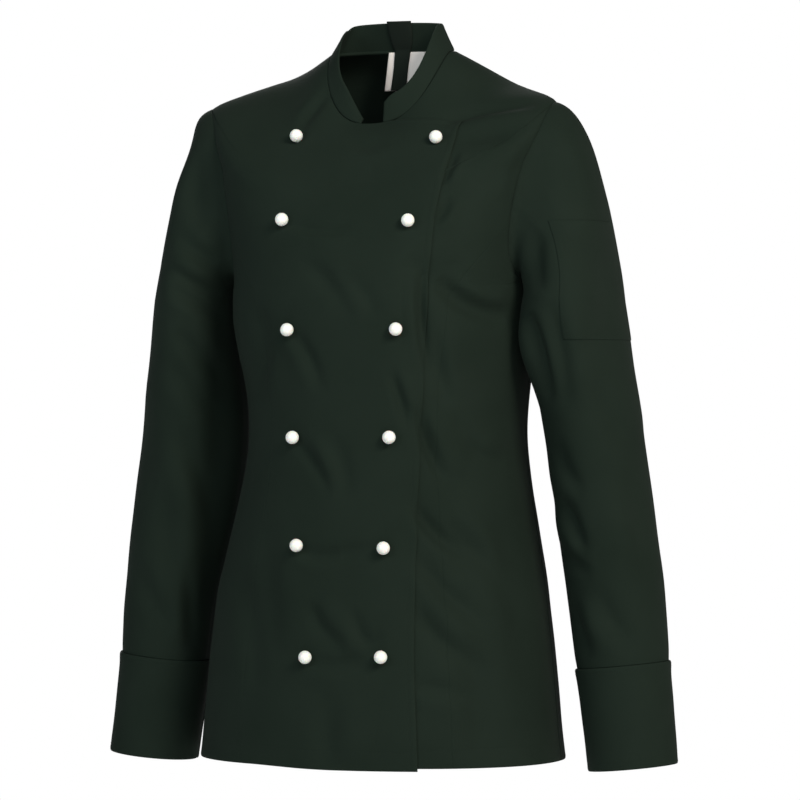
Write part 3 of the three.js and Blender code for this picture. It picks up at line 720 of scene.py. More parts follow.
def twill_material(name, dark, light, pitch=TWILL_PITCH, relief=0.35):
    """Fine diagonal twill in millimetres along the cloth, with slight unevenness of colour."""
    material, tree, shader = new_material(name)
    links = tree.links
    place = node(tree, "ShaderNodeTexCoord")
    turn = node(tree, "ShaderNodeMapping")
    turn.inputs["Rotation"].default_value = (0, 0, math.radians(58))
    turn.inputs["Scale"].default_value = (1 / (pitch * MM), 1 / (pitch * MM), 1)
    links.new(place.outputs["UV"], turn.inputs["Vector"])
    ribs = node(tree, "ShaderNodeTexWave", wave_type="BANDS", bands_direction="X", wave_profile="SIN")
    ribs.inputs["Scale"].default_value = 0.314
    ribs.inputs["Distortion"].default_value = 0.6
    ribs.inputs["Detail"].default_value = 1
    links.new(turn.outputs["Vector"], ribs.inputs["Vector"])
    yarn = node(tree, "ShaderNodeTexNoise")
    yarn.inputs["Scale"].default_value = 1.6
    yarn.inputs["Detail"].default_value = 3
    links.new(turn.outputs["Vector"], yarn.inputs["Vector"])
    cloudy = node(tree, "ShaderNodeTexNoise")
    cloudy.inputs["Scale"].default_value = 14
    cloudy.inputs["Detail"].default_value = 5
    links.new(place.outputs["Object"], cloudy.inputs["Vector"])
    shade = node(tree, "ShaderNodeMix", data_type="RGBA")
    shade.inputs["A"].default_value = dark
    shade.inputs["B"].default_value = light
    mixed = node(tree, "ShaderNodeMath", operation="MULTIPLY_ADD")
    links.new(ribs.outputs["Color"], mixed.inputs[0])
    mixed.inputs[1].default_value = 0.45
    links.new(cloudy.outputs["Fac"], mixed.inputs[2])
    links.new(mixed.outputs["Value"], shade.inputs["Factor"])
    links.new(shade.outputs["Result"], shader.inputs["Base Color"])
    height = node(tree, "ShaderNodeMath", operation="MULTIPLY_ADD")
    links.new(yarn.outputs["Fac"], height.inputs[0])
    height.inputs[1].default_value = 0.5
    links.new(ribs.outputs["Color"], height.inputs[2])
    bump = node(tree, "ShaderNodeBump")
    bump.inputs["Strength"].default_value = relief
    bump.inputs["Distance"].default_value = 0.00012
    links.new(height.outputs["Value"], bump.inputs["Height"])
    links.new(bump.outputs["Normal"], shader.inputs["Normal"])
    rough = node(tree, "ShaderNodeMapRange")
    rough.inputs["To Min"].default_value = 0.72
    rough.inputs["To Max"].default_value = 0.9
    links.new(yarn.outputs["Fac"], rough.inputs["Value"])
    links.new(rough.outputs["Result"], shader.inputs["Roughness"])
    shader.inputs["Specular IOR Level"].default_value = 0.05
    shader.inputs["Sheen Weight"].default_value = 0.008
    shader.inputs["Sheen Roughness"].default_value = 0.5
    return material


def stud_material():
    material, tree, shader = new_material("stud_white")
    place = node(tree, "ShaderNodeTexCoord")
    speck = node(tree, "ShaderNodeTexNoise")
    speck.inputs["Scale"].default_value = 260
    speck.inputs["Detail"].default_value = 2
    tree.links.new(place.outputs["Object"], speck.inputs["Vector"])
    shade = node(tree, "ShaderNodeMix", data_type="RGBA")
    shade.inputs["A"].default_value = (0.84, 0.85, 0.82, 1)
    shade.inputs["B"].default_value = (0.92, 0.925, 0.90, 1)
    tree.links.new(speck.outputs["Fac"], shade.inputs["Factor"])
    tree.links.new(shade.outputs["Result"], shader.inputs["Base Color"])
    bump = node(tree, "ShaderNodeBump")
    bump.inputs["Strength"].default_value = 0.04
    bump.inputs["Distance"].default_value = 0.0002
    tree.links.new(speck.outputs["Fac"], bump.inputs["Height"])
    tree.links.new(bump.outputs["Normal"], shader.inputs["Normal"])
    shader.inputs["Roughness"].default_value = 0.32
    shader.inputs["Subsurface Weight"].default_value = 0.15
    shader.inputs["Subsurface Scale"].default_value = 0.002
    return material


MATERIALS = {
    "twill": twill_material("twill", TWILL_DARK, TWILL_LIGHT),
    "tape": twill_material("tape", (0.007, 0.0105, 0.0085, 1), (0.012, 0.017, 0.014, 1), 1.2, 0.6),
    "label_cloth": twill_material("label_cloth", (0.70, 0.64, 0.62, 1), (0.80, 0.75, 0.73, 1), 0.5, 0.3),
    "thread": twill_material("thread", (0.011, 0.0165, 0.0135, 1), (0.018, 0.025, 0.021, 1), 0.4, 0.2),
    "stud_white": stud_material(),
}


# Pieces

# Columns for the cut of a cloth piece, all round on a tube: width, length and area in metres; nothing here
# fills them
FLAT_COLUMNS = ["width", "length", "area"]


def dress(piece, node_name, slot="twill", material=None):
    piece.data.materials.append(MATERIALS[material or slot])
    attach(piece, "root")
    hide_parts(node_name)
    return piece


EDGE_OFFSETS = [0, 0.4, 0.9, 1.5, 2.2, 3.4, 4.8, 5.8, 6.5, 7.2, 8.4, 10.5, 13]


def row_angles(start, end, v, columns):
    """Angles across a panel for each row, closer together near its two edges.
    Also how far each place is from either edge, square to that edge."""
    share = np.linspace(0, 1, 161)
    dense = start[:, None] + (end - start)[:, None] * share
    points = body_point(dense, v[:, None])
    along = np.zeros(dense.shape)
    along[:, 1:] = np.cumsum(np.linalg.norm(np.diff(points, axis=1), axis=2), axis=1)
    slants = [edge_slant(points[:, 0], points[:, 1]), edge_slant(points[:, -1], points[:, -2])]
    offsets = np.array(EDGE_OFFSETS)
    angles = np.zeros((len(v), 2 * len(offsets) + columns))
    distances = np.zeros(angles.shape + (2,))
    for r in range(len(v)):
        length = along[r, -1]
        first = offsets / slants[0][r]
        last = offsets / slants[1][r]
        shrink = min(1.0, 0.42 * length / max(first[-1], last[-1]))
        first, last = first * shrink, length - last[::-1] * shrink
        middle = np.linspace(first[-1], last[0], columns + 2)[1:-1]
        places = np.concatenate([first, middle, last])
        angles[r] = np.interp(places, along[r], dense[r])
        distances[r, :, 0] = places * slants[0][r]
        distances[r, :, 1] = (length - places) * slants[1][r]
    return angles, distances


def edge_slant(edge, beside):
    """Sine of the angle between a panel's edge and its rows."""
    down = unit(np.gradient(edge, axis=0))
    across = unit(beside - edge)
    slant = np.linalg.norm(np.cross(down, across), axis=1)
    smoothed = np.convolve(np.pad(slant, 2, mode="edge"), np.ones(5) / 5, mode="valid")
    return np.clip(smoothed, 0.38, 1)


ROW_STEP = 5.2


def body_rows(first=0.0):
    """Row places down the body, closer at the neck, the armhole's ends and the hem."""
    v = np.linspace(0, HEM_V, 1201)
    middle = body_point(np.full(v.shape, 60.0), v)
    along = np.concatenate([[0], np.cumsum(np.linalg.norm(np.diff(middle, axis=0), axis=1))])
    rows = list(np.interp(np.arange(0, along[-1], ROW_STEP), along, v))
    rows += list(np.interp([0.4, 0.9, 1.5, 2.2, 3.2], along, v))
    rows += [float(x) for x in armhole_place(np.arange(0, 181, 9.0))[1]]
    rows += [LAP_CORNER[1] + d for d in (-0.03, -0.01, 0, 0.01, 0.03)]
    for distance in (0, 0.4, 0.9, 1.5, 2.2, 3.4, 5, 15.5, 17, 18, 19, 21):
        rows.append(float(np.interp(along[-1] - distance, along, v)))
    rows = np.array(sorted(x for x in rows if x >= first))
    if first > 0:
        rows = np.concatenate([[first], rows])
    keep = np.concatenate([[True], np.diff(rows) > 2e-3])
    rows = rows[keep]
    rows[-1] = HEM_V
    return rows


def end_distances(grid):
    """Distance of each row from the panel's first and last row, along the cloth."""
    step = np.linalg.norm(np.diff(grid, axis=0), axis=2)
    down = np.concatenate([np.zeros((1, grid.shape[1])), np.cumsum(step, axis=0)])
    return down, down[-1] - down


def edge_roll(v, kind):
    """How far the cloth turns in at a panel's edge: deeper where a sleeve is set in."""
    if kind == "free":
        return np.full(v.shape, ROLL_AT_EDGE)
    plain = ROLL_AT_FRONT_SEAM if kind == "front" else ROLL_AT_SEAM
    end = FRONT_SEAM_V if kind == "front" else ARMHOLE_BOTTOM_V
    if kind == "seam":
        return np.full(v.shape, ROLL_AT_FRONT_SEAM)
    inside = smooth_step((v - ARMHOLE_TOP_V) / 0.15) * smooth_step((end - v) / 0.15)
    return plain + (armhole_roll(v) - plain) * inside


def panel(name, v, start, end, columns, depth_of, kinds, stitch=None, sag=0.0):
    """One body panel. kinds says what its start and end edges are: free, front, seam or side."""
    angles, distances = row_angles(start, end, v, columns)
    rows = np.broadcast_to(v[:, None], angles.shape)
    normals = body_normal(angles, rows)
    base = body_point(angles, rows) - normals * depth_of(angles)[..., None]
    base = base + normals * body_relief(body_point(angles, rows), angles)[..., None]
    base[..., 2] -= sag * smooth_step(rows - HEM_V + 1) * smooth_step(angles / SAG_ANGLE + 1)
    down, up = end_distances(base)
    fine = seam_relief(distances[..., 0], edge_roll(v, kinds[0])[:, None], stitch)
    fine += seam_relief(distances[..., 1], edge_roll(v, kinds[1])[:, None])
    fine += seam_relief(down, ROLL_AT_SEAM)
    fine += seam_relief(up, ROLL_AT_EDGE, HEM_STITCH)
    pucker = np.exp(-((np.minimum(distances[..., 0], distances[..., 1]) / 7) ** 2))
    fine += 0.16 * pucker * ripple(base[..., 0], base[..., 2], 11, 5)
    outer = base + normals * fine[..., None]
    under = 0.45 * np.clip(1 - np.minimum(distances.min(-1), np.minimum(down, up)) / 1.2, 0, 1)
    inner = base - normals * (WALL - under)[..., None]
    return shell(name, outer, inner), outer, normals, distances, up


def run_at(outer, normals, distances, wanted, rows=slice(None)):
    """The line of stitches at a distance from an edge: the column nearest to it in each row."""
    column = np.abs(distances - wanted).argmin(axis=1)
    pick = np.arange(len(outer))[rows]
    return outer[pick, column[pick]], normals[pick, column[pick]]


def hem_run(outer, normals, up):
    row = int(np.abs(up.mean(axis=1) - HEM_STITCH).argmin())
    return outer[row], normals[row]


def upper_depth(angle):
    return -LAP_DEPTH * smooth_step(angle / LAP_EASE_ANGLE)


def lower_depth(angle):
    return LAP_DEPTH * (1 - smooth_step(angle / LAP_EASE_ANGLE))


def flat_depth(angle):
    return np.zeros_like(angle)


def fronts():
    v = body_rows()
    own = np.where(v > FRONT_SEAM_V, front_seam_angle(np.maximum(v, FRONT_SEAM_V)), side_angle(v, False))
    far = lap_angle(v, 1)
    made = panel("front_right_cloth", v, far, -own, 96, upper_depth, ("free", "front"), EDGE_STITCH, HEM_SAG)
    piece, outer, normals, distances, up = made
    dress(piece, "front_right")
    sewing = stitches("front_right_stitching", [
        run_at(outer, normals, distances[..., 0], EDGE_STITCH),
        hem_run(outer, normals, up),
    ])
    hidden = lap_angle(v, -1)
    made = panel("front_left_cloth", v, hidden, own, 96, lower_depth, ("free", "front"))
    piece, outer, normals, distances, up = made
    dress(piece, "front_left")
    sewing = stitches("front_left_stitching", [hem_run(outer, normals, up)])


def side_fronts():
    v = body_rows(FRONT_SEAM_V + 0.02)
    seam, side = front_seam_angle(v), side_angle(v, False)
    for word, sign in (("left", 1), ("right", -1)):
        edges = sign * seam, sign * side
        made = panel(f"side_front_{word}_cloth", v, *edges, 34, flat_depth, ("seam", "side"))
        piece, outer, normals, _, up = made
        dress(piece, f"side_front_{word}")
        sewing = stitches(f"side_front_{word}_stitching", [hem_run(outer, normals, up)])


def back():
    v = body_rows()
    side = side_angle(v, True)
    made = panel("back_cloth", v, side, 360 - side, 150, flat_depth, ("side", "side"))
    piece, outer, normals, distances, up = made
    dress(piece, "back")
    sewing = stitches("back_stitching", [hem_run(outer, normals, up)])


# Collar

def collar_end_angle():
    return float(lap_angle(np.array(0.0), 1)) * COLLAR_END_SHARE


def collar_end_share(angle):
    left = angle < 180
    from_front = np.where(left, angle, 360 - angle)
    width = np.where(left, COLLAR_END_WIDTH["left"], COLLAR_END_WIDTH["right"])
    drop = np.where(left, COLLAR_END_DROP["left"], COLLAR_END_DROP["right"])
    past = np.clip((from_front - collar_end_angle()) / width, 0, 1)
    dip = COLLAR_DIP["share"] * np.exp(-(((angle - COLLAR_DIP["angle"]) / COLLAR_DIP["width"]) ** 2))
    return 1 - drop * (1 - past) ** 2 - dip


def collar_point(angle, height):
    angle, height = np.broadcast_arrays(np.asarray(angle, float), np.asarray(height, float))
    base = body_point(angle, 0.0)
    cosine = np.cos(np.radians(angle))
    end = np.where(cosine > 0, COLLAR_LEAN["front"], COLLAR_LEAN["back"])
    lean = COLLAR_LEAN["side"] + (end - COLLAR_LEAN["side"]) * cosine ** 2
    aim = np.stack([-base[..., 0], RINGS[0, 6] * 0.5 - base[..., 1], np.zeros_like(angle)], -1)
    rise = COLLAR_HEIGHT * height * collar_end_share(angle) + COLLAR_STAND_OFF
    up = np.stack([np.zeros_like(angle), np.zeros_like(angle), rise], -1)
    return base + unit(aim) * (lean * height)[..., None] + up


def collar_inward(angle, height):
    round_it = collar_point(angle + 0.5, height) - collar_point(angle - 0.5, height)
    up = collar_point(angle, np.ones_like(height)) - collar_point(angle, np.zeros_like(height))
    return unit(np.cross(up, round_it))


def collar():
    end = collar_end_angle()
    dense = np.linspace(end, 360 - end, 721)
    line = collar_point(dense, 0.5)
    along = np.concatenate([[0], np.cumsum(np.linalg.norm(np.diff(line, axis=0), axis=1))])
    ends = np.array([0, 0.4, 0.9, 1.5, 2.4, 3.6, 5, 6.5])
    places = np.concatenate([ends, np.linspace(8, along[-1] - 8, 170), along[-1] - ends[::-1]])
    angles = np.interp(places, along, dense)[None, :]
    heights = np.array([0, 0.02, 0.05, 0.09, 0.14, 0.22, 0.32, 0.42, 0.52, 0.62, 0.7, 0.76, 0.81, 0.86,
                        0.91, 0.945, 0.97, 0.985, 1])[:, None]
    angles, heights = np.broadcast_arrays(angles, heights)
    base = collar_point(angles, heights)
    inward = collar_inward(angles, heights)
    from_end = np.minimum(places, along[-1] - places)[None, :]
    from_top = (1 - heights) * COLLAR_HEIGHT
    from_seam = heights * COLLAR_HEIGHT
    relief = seam_relief(from_seam, ROLL_AT_COLLAR)
    relief = relief + seam_relief(np.minimum(from_end, from_top), ROLL_AT_EDGE, 5)
    relief += 0.35 * ripple(places[None, :] + 0 * heights, heights * COLLAR_HEIGHT, 42, 8)
    outer = base - inward * relief[..., None]
    rounding = 0.7 * np.clip(1 - np.minimum(from_end, from_top) / 1.4, 0, 1) ** 2
    thick = COLLAR_WALL - rounding
    inner = base + inward * (thick + 0.25 * ripple(places[None, :] + 0 * heights, from_top, 30, 9))[..., None]
    behind = inner[0] - inward[0] * (COLLAR_WALL - WALL - 0.15)
    below = np.array([0, 0, -ALLOWANCE])
    outer = np.concatenate([[behind + below], [behind], outer])
    inner = np.concatenate([[inner[0] + below], [inner[0]], inner])
    inward = np.concatenate([inward[:1], inward[:1], inward])
    piece = dress(shell("collar_cloth", outer, inner), "collar")
    row = int(np.abs(from_top[:, 0] - 5).argmin()) + 2
    inside = slice(6, -6)
    run_ends = [(outer[3:row + 1, c][::-1], -inward[3:row + 1, c][::-1]) for c in (6, -7)]
    sewing = stitches("collar_stitching", [(outer[row, inside], -inward[row, inside]), *run_ends])


# Hanger loop and label

def collar_layer(x, height, depth):
    angle = 180 - angle_across(np.asarray(x, float), np.zeros_like(np.asarray(x, float)))
    height = np.full_like(angle, height)
    return collar_point(angle, height) + collar_inward(angle, height) * depth


def hanging_row(x, drop, depth):
    top = collar_layer(x, 0.0, COLLAR_WALL + TRIM_GAP + depth)
    return top + np.array([-HANG_SLANT * drop, -HANG_SWAY * drop, -drop])


def hanger_loop():
    across = np.linspace(-1, 1, 13)
    heights = np.array([h for h, _ in LOOP_ON_COLLAR])
    halves = np.array([w for _, w in LOOP_ON_COLLAR])
    outer, inner = [], []
    for height in np.linspace(LOOP_ON_COLLAR[0][0], LOOP_ON_COLLAR[-1][0], 26):
        half = float(np.interp(-height, -heights, halves)) * (1 + LOOP_SPREAD * height)
        for layer, extra in ((outer, 0), (inner, TRIM_WALL)):
            layer.append(collar_layer(LOOP_SHIFT + across * half, height, COLLAR_WALL + TRIM_GAP + extra))
    drops = np.array([d for d, _ in LOOP_BELOW])
    halves = np.array([w for _, w in LOOP_BELOW])
    for drop in np.linspace(LOOP_BELOW[0][0], LOOP_BELOW[-1][0], 28):
        half = float(np.interp(drop, drops, halves))
        for layer, extra in ((outer, 0), (inner, TRIM_WALL)):
            layer.append(hanging_row(LOOP_SHIFT + across * half, drop, LABEL_WALL + TRIM_GAP + 0.2 + extra))
    outer, inner = np.array(outer), np.array(inner)
    toward = unit(inner - outer)
    edge = np.clip((1 - np.abs(across)) * 6, 0, 1)[None, :, None]
    inner = inner - toward * 0.35 * (1 - edge)
    groove = 0.18 * np.exp(-(((np.abs(across) - 0.78) / 0.06) ** 2))[None, :, None]
    inner = inner - toward * groove
    piece = dress(shell("hanger_loop_tape", outer, inner), "hanger_loop", "twill", "tape")


def label():
    across = np.linspace(*LABEL_X, 31)
    drops = np.linspace(*LABEL_DROPS, 27)
    layers = []
    for extra in (0, LABEL_WALL):
        rows = [hanging_row(across, drop, extra) for drop in drops]
        layers.append(np.array(rows))
    a, b = np.meshgrid(across, drops)
    wave = 0.3 * np.sin(a / 7 + b / 13) * smooth_step(b / 30)
    layers = [layer + np.stack([0 * wave, -np.abs(wave), 0 * wave], -1) for layer in layers]
    piece = dress(shell("label_tape", layers[0], layers[1]), "label", "label_cloth")


# Sleeves

def sleeve_ring_point(turn, ring):
    turn, ring = np.broadcast_arrays(np.asarray(turn, float), np.asarray(ring, float))
    row = table_row(SLEEVE_RINGS, SLEEVE_COLUMNS, ring)
    out = row["half_width"] * np.cos(np.radians(turn))
    fore = row["half_depth"] * np.sin(np.radians(turn))
    return np.stack([row["x"] + out, row["y"] - fore, row["z"] + row["tilt"] * out], -1)


def armhole_frame(turn):
    """Places on the armhole, the body's normals there, and directions into the sleeve."""
    angle, v = armhole_place(turn)
    normals = body_normal(angle, v)
    along = body_point(*armhole_place(turn + 9)) - body_point(*armhole_place(turn - 9))
    return body_point(angle, v), normals, unit(np.cross(normals, along))


def cap_points(turn, shares):
    """Sleeve cap: from the armhole at share 0 to the first sleeve ring at share 1."""
    start, _, outward = armhole_frame(turn)
    end = sleeve_ring_point(turn, 0.0)
    cosine = np.cos(np.radians(turn))[:, None]
    towards = unit(end - start)
    leaving = towards + (outward - towards) * (CAP_LEAVE_LEVEL + (1 - CAP_LEAVE_LEVEL) * np.abs(cosine))
    leaving = unit(leaving + (CAP_HEAD - leaving) * smooth_step(cosine))
    first = start + leaving * (CAP_REACH[0] + CAP_REACH[1] * cosine)
    second = end + np.array([0, 0, 1]) * (CAP_RISE[0] + CAP_RISE[1] * cosine)
    second[:, 0] -= CAP_LEAN_IN * np.maximum(cosine[:, 0], 0)
    t = np.asarray(shares)[:, None, None]
    return ((1 - t) ** 3 * start + 3 * t * (1 - t) ** 2 * first + 3 * t * t * (1 - t) * second + t ** 3 * end)


SLEEVE_COLUMNS_FINE = 132
CAP_ROWS = [0, 0.012, 0.03, 0.05, 0.08, 0.115, 0.15] + list(np.linspace(0.19, 0.97, 28))


def grid_normals(grid):
    down = np.gradient(grid, axis=0)
    round_it = np.roll(grid, -1, axis=1) - np.roll(grid, 1, axis=1)
    return -unit(np.cross(down, round_it))


def sleeve_base():
    turn = np.arange(SLEEVE_COLUMNS_FINE) * 360.0 / SLEEVE_COLUMNS_FINE
    cap = cap_points(turn, CAP_ROWS)
    last = CUFF_RING - np.array([0.1, 0.08, 0.06, 0.045, 0.03, 0.018, 0.008, 0])
    rings = np.concatenate([np.linspace(0, CUFF_RING - 0.12, 66), last])
    arm = sleeve_ring_point(turn[None, :], rings[:, None])
    grid = np.concatenate([cap, arm])
    normals = grid_normals(grid)
    normals[0] = armhole_frame(turn)[1]
    for row in range(1, 6):
        share = row / 6
        normals[row] = unit(normals[0] * (1 - share) + normals[row] * share)
    return turn, grid, normals


UNDERARM = {"place": np.array([160, -36, -272]), "shift": np.array([-14, -11, 0]), "reach": 50, "front": -4}


def full_underarm(points):
    """The wearer's left sleeve is fuller at the front of the underarm, clear of the body's side."""
    away = np.linalg.norm(points - UNDERARM["place"], axis=-1) / UNDERARM["reach"]
    share = np.exp(-away * away) * smooth_step((UNDERARM["front"] - points[..., 1]) / 26)
    return points + share[..., None] * UNDERARM["shift"]


INNER_ARM = {
    "place": np.array([160, 22, -412]),
    "shift": np.array([-11.5, 3.5, 0]),
    "reach": 55,
    "height": 0.5,
}


def full_inner_arm(points):
    """The wearer's right sleeve is fuller on its inner side, and reaches behind the waist in the picture.
    The points are the left sleeve's, before they are mirrored."""
    apart = (points - INNER_ARM["place"]) * np.array([1, 1, INNER_ARM["height"]])
    away = np.linalg.norm(apart, axis=-1) / INNER_ARM["reach"]
    return points + np.exp(-away * away)[..., None] * INNER_ARM["shift"]


def mirrored(points):
    return points * np.array([-1, 1, 1])


def sleeve_relief(points, turn, normals, side):
    """Creases of one sleeve: as in the picture where the camera sees it, and from a given table elsewhere."""
    seen = mirrored(points) if side < 0 else points
    facing = (mirrored(normals) if side < 0 else normals) @ VIEW_BACK
    weight = smooth_step(facing * 3 + 0.3)
    u, w = in_picture(seen)
    creases = LEFT_SLEEVE_CREASES if side > 0 else RIGHT_SLEEVE_CREASES
    relief = weight * crease_relief(u, w, creases)
    turns = np.broadcast_to(turn[None, :], points.shape[:2])
    hidden = crease_relief(turns * 0.9 + 0 * points[..., 2], points[..., 2].copy(),
                           [[t0 * 0.9, z0, t1 * 0.9, z1, t2 * 0.9, z2, width, depth, lean]
                            for t0, z0, t1, z1, t2, z2, width, depth, lean in HIDDEN_SLEEVE_CREASES])
    relief += hidden * (1 if side > 0 else 0.85)
    return relief + 0.5 * ripple(turns * 0.8, points[..., 2], 70, 11 if side > 0 else 17)


def sleeves():
    turn, plain, normals = sleeve_base()
    down, up = end_distances(plain)
    under = np.abs(((turn - 180 + 180) % 360) - 180)[None, :] * 0.85
    for word, side in (("left", 1), ("right", -1)):
        full = smooth_step(down / 20)[..., None]
        fuller = full_underarm(plain) if side > 0 else full_inner_arm(plain)
        grid = plain + (fuller - plain) * full
        base = grid + normals * (smooth_step(down / 26) * sleeve_relief(grid, turn, normals, side))[..., None]
        relief = seam_relief(down, armhole_roll(armhole_place(turn)[1])[None, :])
        relief = relief + seam_relief(np.broadcast_to(under, down.shape), ROLL_AT_SEAM) * smooth_step(down / 20)
        relief += 0.2 * np.exp(-((down / 14) ** 2)) * ripple(turn[None, :] * 1.1 + 0 * down, down, 13, 21)
        relief += -0.6 * np.exp(-((up / 7) ** 2))
        outer = base + normals * relief[..., None]
        inner = base - normals * WALL
        if side < 0:
            outer, inner = mirrored(outer), mirrored(inner)
        piece = dress(shell(f"sleeve_{word}_cloth", outer, inner, wraps=True), f"sleeve_{word}")


def cuff_base():
    turn = np.arange(SLEEVE_COLUMNS_FINE) * 360.0 / SLEEVE_COLUMNS_FINE
    length = SLEEVE_RINGS[CUFF_RING, 0] - SLEEVE_RINGS[CUFF_RING + 1, 0]
    near = np.array([0, 0.4, 0.9, 1.5, 2.2, 3.4, 5, 6.5, 8])
    places = np.concatenate([near, np.linspace(10, length - 10, 26), length - near[::-1]])
    rings = CUFF_RING + places / length
    grid = sleeve_ring_point(turn[None, :], rings[:, None])
    grid[..., 2] -= CUFF_DROP
    return turn, places, length, grid, grid_normals(grid)


def cuffs():
    turn, places, length, grid, normals = cuff_base()
    depth = places[:, None]
    around = (turn[None, :] - CUFF_VENT_TURN) * 0.75
    for word, side in (("left", 1), ("right", -1)):
        relief = CUFF_STAND + seam_relief(depth, ROLL_AT_EDGE, 6) + seam_relief(length - depth, ROLL_AT_EDGE, 6)
        relief = relief + 0.5 * np.exp(-(((depth - 5) / 6) ** 2))
        vent = CUFF_VENT_STEP * smooth_step(around / 1.6 + 0.5) * np.exp(-((np.maximum(around, 0) / 26) ** 2))
        relief = relief + vent - 0.8 * np.exp(-((around / 1.2) ** 2))
        seed = 31 if side > 0 else 37
        relief = relief + 0.4 * ripple(turn[None, :] * 0.75 + 0 * depth, depth + 0 * around, 60, seed)
        outer = grid + normals * relief[..., None]
        rounding = 0.5 * np.clip(1 - (length - depth) / 1.2, 0, 1)
        inner = grid + normals * (CUFF_STAND - WALL - 0.2 + rounding + 0 * relief)[..., None]
        normal = normals
        if side < 0:
            outer, inner, normal = mirrored(outer), mirrored(inner), mirrored(normals)
        piece = dress(shell(f"cuff_{word}_cloth", outer, inner, wraps=True), f"cuff_{word}")
        rows = [int(np.abs(places - 6.5).argmin()), int(np.abs(length - places - 6.5).argmin())]
        closed = np.concatenate([np.arange(len(turn)), [0]])
        sewing = stitches(f"cuff_{word}_stitching", [(outer[r][closed], normal[r][closed]) for r in rows])


def pen_pocket():
    """Patch on the upper sleeve, from its hem down to the sleeve's second ring."""
    near = np.array([0, 0.6, 1.3, 2.2, 3.4])
    places = np.concatenate([near, np.linspace(5, POCKET_WIDTH - 5, 60), POCKET_WIDTH - near[::-1]])
    lengths = np.concatenate([near, np.linspace(5, POCKET_LENGTH - 5, 46), POCKET_LENGTH - near[::-1]])
    dense = np.linspace(POCKET_BACK_TURN, POCKET_FRONT_TURN, 121)
    cap = cap_points(dense, np.linspace(0, 1, 120))
    arm = sleeve_ring_point(dense[None, :], np.linspace(0.02, 1, 60)[:, None])
    column = full_underarm(np.concatenate([cap, arm]))
    bottom = sleeve_ring_point(dense, 1.0)[:, 2]
    rows = []
    for share in lengths / POCKET_LENGTH:
        z = POCKET_TOP_Z + (bottom - POCKET_TOP_Z) * share
        line = np.array([[np.interp(-z[c], -column[:, c, 2], column[:, c, k]) for k in range(3)]
                         for c in range(len(dense))])
        front = POCKET_FRONT_TURN - POCKET_FRONT_EASE * (1 - share) ** 3
        wanted = POCKET_BACK_TURN + (front - POCKET_BACK_TURN) * places / POCKET_WIDTH
        rows.append(np.stack([np.interp(wanted, dense, line[:, k]) for k in range(3)], 1))
    grid = np.array(rows)
    turn = POCKET_BACK_TURN + (POCKET_FRONT_TURN - POCKET_BACK_TURN) * places / POCKET_WIDTH
    down = np.gradient(grid, axis=0)
    across = np.gradient(grid, axis=1)
    normals = -unit(np.cross(down, across))
    relief = smooth_step(lengths[:, None] / 26 + 1) * sleeve_relief(grid, turn, normals, 1)
    from_side = np.minimum(places, POCKET_WIDTH - places)[None, :]
    from_end = np.minimum(lengths, POCKET_LENGTH - lengths)[:, None]
    nearest = np.minimum(from_side, from_end)
    fine = POCKET_STAND - 0.45 * np.clip(1 - nearest / 2.2, 0, 1) ** 2
    fine = fine - 0.12 * np.exp(-(((nearest - 2.8) / 0.9) ** 2))
    fine = fine - 0.12 * np.exp(-(((lengths[:, None] - POCKET_HEM) / 0.9) ** 2))
    fine = fine + 0.5 * np.exp(-((lengths[:, None] / 10) ** 2)) * np.sin(np.pi * places / POCKET_WIDTH)[None, :]
    outer = grid + normals * (relief + fine)[..., None]
    inner = grid + normals * (relief + 0.3)[..., None]
    piece = dress(shell("pen_pocket_cloth", outer, inner), "pen_pocket")
    side_column, hem_row = 4, int(np.abs(lengths - POCKET_HEM).argmin())
    sewing = stitches("pen_pocket_stitching", [
        (outer[:, side_column], normals[:, side_column]),
        (outer[:, -1 - side_column], normals[:, -1 - side_column]),
        (outer[-5], normals[-5]),
        (outer[hem_row], normals[hem_row]),
    ])


# Ball studs

def stud_profile():
    """Radius and height of a ball on a short shank with a thin collar at its foot."""
    profile = [(0, -0.3), (2.9, -0.3), (3.3, -0.1), (3.3, 0.0), (2.9, 0.05)]
    first = math.asin(2.9 / STUD_RADIUS)
    for angle in np.linspace(math.pi - first, 0, 22):
        profile.append((STUD_RADIUS * math.sin(angle), STUD_CENTRE + STUD_RADIUS * math.cos(angle)))
    return profile


def stud(name, x, z):
    v = ring_at_height(x, z)
    angle = angle_across(x, v)
    normal = body_normal(angle, v)
    surface = body_point(angle, v)
    relief = float(body_relief(surface[None, :], np.array([float(angle)]))[0])
    foot = surface + normal * (relief - float(upper_depth(angle)) - 0.1)
    rotation = Vector(normal).to_track_quat("Z", "Y").to_matrix()
    sides = 36
    points, faces = [], []
    profile = stud_profile()
    for radius, height in profile:
        for step in range(sides):
            a = 2 * math.pi * step / sides
            place = Vector((radius * math.cos(a), radius * math.sin(a), height))
            points.append(foot + np.array(rotation @ place))
    for row in range(len(profile) - 1):
        for step in range(sides):
            a, b = row * sides + step, row * sides + (step + 1) % sides
            faces.append((a, b, b + sides, a + sides))
    piece = add_mesh(f"{name}_ball", np.array(points), faces)
    weld(piece)
    dress(piece, name, "stud_white")
    return foot, np.array(rotation)


def weld(piece):
    data = bmesh.new()
    data.from_mesh(piece.data)
    bmesh.ops.remove_doubles(data, verts=data.verts, dist=1e-7)
    bmesh.ops.dissolve_degenerate(data, edges=data.edges, dist=1e-7)
    data.to_mesh(piece.data)
    data.free()


def studs():
    for name, x, z in STUD_PLACES:
        stud(name, x, z)


# Floor, lights and camera

